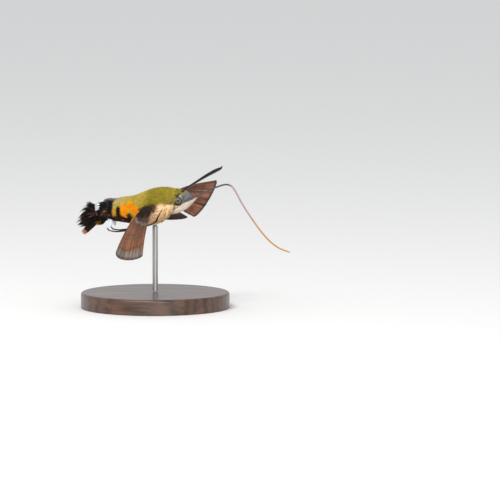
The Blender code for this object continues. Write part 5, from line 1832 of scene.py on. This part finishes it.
class HAWKMOTH_OT_legs(bpy.types.Operator):
    """Six thin legs: two folded pairs along the chest and the hind pair trailing"""

    bl_idname = "hawk_moth.legs"
    bl_label = "Legs"

    def execute(self, context):
        for side_index, (name, side) in enumerate(SIDES.items()):
            for leg_index, (kind, joints) in enumerate((("foreleg", FORELEG), ("midleg", MIDLEG))):
                courses = []
                for (start, end), clearance in zip(zip(joints, joints[1:]), (0.3, 0.22, 0.16)):
                    steps = np.linspace(start, end, 5)
                    courses.append(over_torso(steps, clearance, side))
                hip = over_torso([joints[0]], -0.6, side)
                courses[0] = np.concatenate([hip, courses[0]])
                self.make_leg(f"{kind}_{name}", courses, "fawn", leg_index == 1, 100 + side_index * 10 + leg_index)
            free = np.array(HINDLEG_COURSE) * (1, side, 1) + (0, 0, FLIGHT_HEIGHT)
            hip = over_torso([HINDLEG_HIP], -0.5, side)
            fine = smooth(range(5), free, np.linspace(0, 4, 13))
            courses = [np.concatenate([hip, fine[:1]]), fine[:7], fine[6:]]
            self.make_leg(f"hindleg_{name}", courses, "leg", False, 105 + side_index * 10)
        return {"FINISHED"}

    def make_leg(self, node_name, courses, base, dark_shin, seed):
        """A leg whose shin and foot may be darker than its thigh."""
        thigh, shin, foot = courses
        shape = bmesh.new()
        add_segment(shape, thigh, THIGH)
        thigh_faces = len(shape.faces)
        add_segment(shape, shin, SHIN)
        add_foot(shape, foot)
        add_spurs(shape, shin, 0.97, 0.5)
        for face in list(shape.faces)[thigh_faces:]:
            face.material_index = 1
        mesh = bmesh_to_mesh(shape, node_name + "_joints")
        finishes = [leg_material(base), leg_material("leg" if dark_shin else base)]
        finish_piece(mesh.name, mesh, finishes, [node_name])
        tufts = Tufts(len(SCALE_TAPER))
        leg_tufts(tufts, thigh, THIGH, 900, 0, seed)
        leg_tufts(tufts, shin, SHIN, 420, dark_shin, seed + 1)
        leg_tufts(tufts, foot, FOOT, 240, dark_shin, seed + 2)
        patches = (("umber", 1.0, 60.0, 0.8, 50.0, 0, 0.6, 0.15), ("leg", 22.0, 60.0, 9.0, 900.0, 0, 0.1, 1.0))
        markings = markings_group(f"Leg scales {base}", base, patches, 0.8)
        scales = tufts.mesh(node_name + "_scales", SCALE_TAPER, 0.3)
        finish_piece(scales.name, scales, [fur_material(f"{base} leg scales", markings)])


# Stand and stage


def wood_material():
    """Dark lacquered wood with fine straight grain."""
    material, tree, shader = new_material("lacquered wood")
    where = node(tree, "ShaderNodeTexCoord").outputs["Object"]
    stretched = node(tree, "ShaderNodeMapping", {"Vector": where, "Scale": (40.0, 420.0, 420.0)}).outputs[0]
    grain = cloud(tree, stretched, 1.4, 6.0, 0.65)
    rings = node(
        tree,
        "ShaderNodeTexWave",
        {"Vector": stretched, "Scale": 0.35, "Distortion": 5.0, "Detail": 3.0},
        bands_direction="Y",
    ).outputs["Fac"]
    dark = blend(tree, rings, (0.02, 0.009, 0.005, 1), (0.075, 0.03, 0.014, 1))
    result = blend(tree, between(tree, grain, 0.4, 0.7), dark, (0.11, 0.048, 0.022, 1))
    feed(tree, shader["Base Color"], result)
    feed(tree, shader["Roughness"], between(tree, grain, 0.3, 0.7, 0.3, 0.44))
    bump = node(tree, "ShaderNodeBump", {"Height": grain, "Distance": 0.00003, "Strength": 0.3})
    feed(tree, shader["Normal"], bump.outputs[0])
    shader["Coat Weight"].default_value = 0.3
    shader["Coat Roughness"].default_value = 0.22
    return material


# Shape of the pin that carries the moth, as shares of the rod's radius
PIN_TAPER = np.array([0.8, 0.8, 0.78, 0.66, 0.58, 0.55])


def rod_material():
    """Brushed steel with faint lines along the rod."""
    material, tree, shader = new_material("brushed rod")
    where = node(tree, "ShaderNodeTexCoord").outputs["Object"]
    stretched = node(tree, "ShaderNodeMapping", {"Vector": where, "Scale": (9000.0, 9000.0, 150.0)}).outputs[0]
    lines = cloud(tree, stretched, 1.0, 3.0)
    feed(tree, shader["Base Color"], blend(tree, lines, (0.3, 0.295, 0.28, 1), (0.46, 0.45, 0.43, 1)))
    feed(tree, shader["Roughness"], between(tree, lines, 0.3, 0.7, 0.32, 0.48))
    shader["Metallic"].default_value = 1.0
    return material


def turned_piece(node_name, sides, softened, rounds, material):
    """A round block in the place of a node of the stand, with a softened top rim."""
    low, high = (Vector(corner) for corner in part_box(node_name))
    shape = bmesh.new()
    bmesh.ops.create_cone(
        shape,
        cap_ends=True,
        segments=sides,
        radius1=(high.x - low.x) / 2,
        radius2=(high.x - low.x) / 2,
        depth=high.z - low.z,
        matrix=Matrix.Translation((low + high) / 2),
    )
    rim = [edge for edge in shape.edges if min(vert.co.z for vert in edge.verts) > high.z - 1e-7]
    bmesh.ops.bevel(
        shape, geom=rim, offset=softened * MM, segments=rounds, profile=0.5, affect="EDGES", material=-1
    )
    caps = [face for face in shape.faces if len(face.verts) == sides]
    bmesh.ops.inset_individual(shape, faces=caps, thickness=softened * MM * 0.25)
    for height in (low.z + softened * MM * 0.2, high.z - softened * MM * 1.1):
        geometry = list(shape.verts) + list(shape.edges) + list(shape.faces)
        bmesh.ops.bisect_plane(shape, geom=geometry, plane_co=(0, 0, height), plane_no=(0, 0, 1))
    mesh = bmesh_to_mesh(shape, node_name + "_turned")
    finish_piece(mesh.name, mesh, [material], [node_name])


class HAWKMOTH_OT_stand(bpy.types.Operator):
    """The round base, the rod and the pin that carries the moth"""

    bl_idname = "hawk_moth.stand"
    bl_label = "Stand"

    def execute(self, context):
        steel = rod_material()
        turned_piece("stand_base", 144, 0.6, 5, wood_material())
        turned_piece("stand_rod", 64, 0.1, 3, steel)
        low, high = (Vector(corner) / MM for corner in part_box("stand_rod"))
        middle = (low + high) / 2
        radius = (high.x - low.x) / 2
        heights = np.array([-0.5, -0.02, 0.0, 0.25, 0.6, 1.6]) + high.z
        shape = bmesh.new()
        add_tube(shape, [(middle.x, middle.y, height) for height in heights], radius * PIN_TAPER, 32)
        finish_piece("rod_pin", bmesh_to_mesh(shape, "rod_pin"), [steel])
        return {"FINISHED"}


def area_light(name, place, target, size, power, tint):
    light = bpy.data.lights.new(name, "AREA")
    light.shape = "DISK"
    light.size = size
    light.energy = power
    light.color = tint
    lamp = bpy.data.objects.new(name, light)
    bpy.context.scene.collection.objects.link(lamp)
    lamp.location = place
    lamp.rotation_euler = (Vector(target) - Vector(place)).to_track_quat("-Z", "Y").to_euler()
    return lamp


class HAWKMOTH_OT_stage(bpy.types.Operator):
    """Pale floor, soft lights and the camera"""

    bl_idname = "hawk_moth.stage"
    bl_label = "Stage"

    def execute(self, context):
        scene = context.scene
        stage = settings().stage
        shape = bmesh.new()
        bmesh.ops.create_circle(shape, cap_ends=True, segments=96, radius=12.0)
        floor_mesh = bmesh_to_mesh(shape, "floor")
        floor = bpy.data.objects.new("floor", floor_mesh)
        scene.collection.objects.link(floor)
        material, tree, shader = new_material("pale floor")
        where = node(tree, "ShaderNodeTexCoord").outputs["Object"]
        tint = (*stage.floor, 1.0)
        mottle = cloud(tree, where, 30.0, 4.0)
        feed(tree, shader["Base Color"], blend(tree, maths(tree, "MULTIPLY", mottle, 0.06), tint, (0.7, 0.7, 0.7, 1)))
        shader["Roughness"].default_value = 0.85
        floor_mesh.materials.append(material)
        middle = (0.0, 0.0, FLIGHT_HEIGHT * MM)
        area_light("key light", (-0.12, -0.4, 0.55), middle, 0.35, stage.key_power, (1.0, 0.98, 0.95))
        area_light("fill light", (0.2, -0.6, 0.06), middle, 0.5, stage.fill_power, (0.94, 0.97, 1.0))
        world = bpy.data.worlds.new("even light")
        world.use_nodes = True
        sky = world.node_tree.nodes["Background"].inputs
        sky["Color"].default_value = (0.97, 0.98, 1.0, 1.0)
        sky["Strength"].default_value = stage.sky
        scene.world = world
        scene.view_settings.view_transform = "Standard"
        self.make_camera(scene)
        return {"FINISHED"}

    def make_camera(self, scene):
        azimuth, elevation = math.radians(VIEW_AZIMUTH), math.radians(VIEW_ELEVATION)
        back = Vector(
            (math.sin(azimuth) * math.cos(elevation), -math.cos(azimuth) * math.cos(elevation), math.sin(elevation))
        )
        right = Vector((math.cos(azimuth), math.sin(azimuth), 0))
        up = back.cross(right)
        target = Vector((0, 0, FLIGHT_HEIGHT)) + right * PICTURE_OFFSET[0] + up * PICTURE_OFFSET[1]
        lens = bpy.data.cameras.new("camera")
        lens.sensor_width = 36.0
        lens.lens = lens.sensor_width * CAMERA_DISTANCE / PICTURE_WIDTH
        lens.clip_start = 0.01
        lens.clip_end = 50.0
        camera = bpy.data.objects.new("camera", lens)
        scene.collection.objects.link(camera)
        place = (target + back * CAMERA_DISTANCE) * MM
        turned = back.to_track_quat("Z", "Y").to_matrix().to_4x4()
        camera.matrix_world = Matrix.Translation(place) @ turned
        scene.camera = camera


class HAWKMOTH_PT_panel(bpy.types.Panel):
    """Lists the pieces of the moth"""

    bl_idname = "HAWKMOTH_PT_panel"
    bl_label = "Hawk Moth"
    bl_space_type = "VIEW_3D"
    bl_region_type = "UI"
    bl_category = "Hawk Moth"

    def draw(self, context):
        for step in STEPS:
            self.layout.operator(step.bl_idname)


GROUPS = (CoatSizes, WingSizes, MothColours, StageSettings, MothSettings)
STEPS = (
    HAWKMOTH_OT_skin,
    HAWKMOTH_OT_chest_coat,
    HAWKMOTH_OT_abdomen_coat,
    HAWKMOTH_OT_head_coat,
    HAWKMOTH_OT_tail,
    HAWKMOTH_OT_forewings,
    HAWKMOTH_OT_hindwings,
    HAWKMOTH_OT_eyes,
    HAWKMOTH_OT_antennae,
    HAWKMOTH_OT_tongue,
    HAWKMOTH_OT_legs,
    HAWKMOTH_OT_stand,
    HAWKMOTH_OT_stage,
)


def register():
    for each in (*GROUPS, *STEPS, HAWKMOTH_PT_panel):
        bpy.utils.register_class(each)
    bpy.types.Scene.hawk_moth = bpy.props.PointerProperty(type=MothSettings)


def unregister():
    del bpy.types.Scene.hawk_moth
    for each in reversed((*GROUPS, *STEPS, HAWKMOTH_PT_panel)):
        bpy.utils.unregister_class(each)


def main():
    register()
    for step in STEPS:
        group, operator = step.bl_idname.split(".")
        getattr(getattr(bpy.ops, group), operator)()


if __name__ == "__main__":
    main()
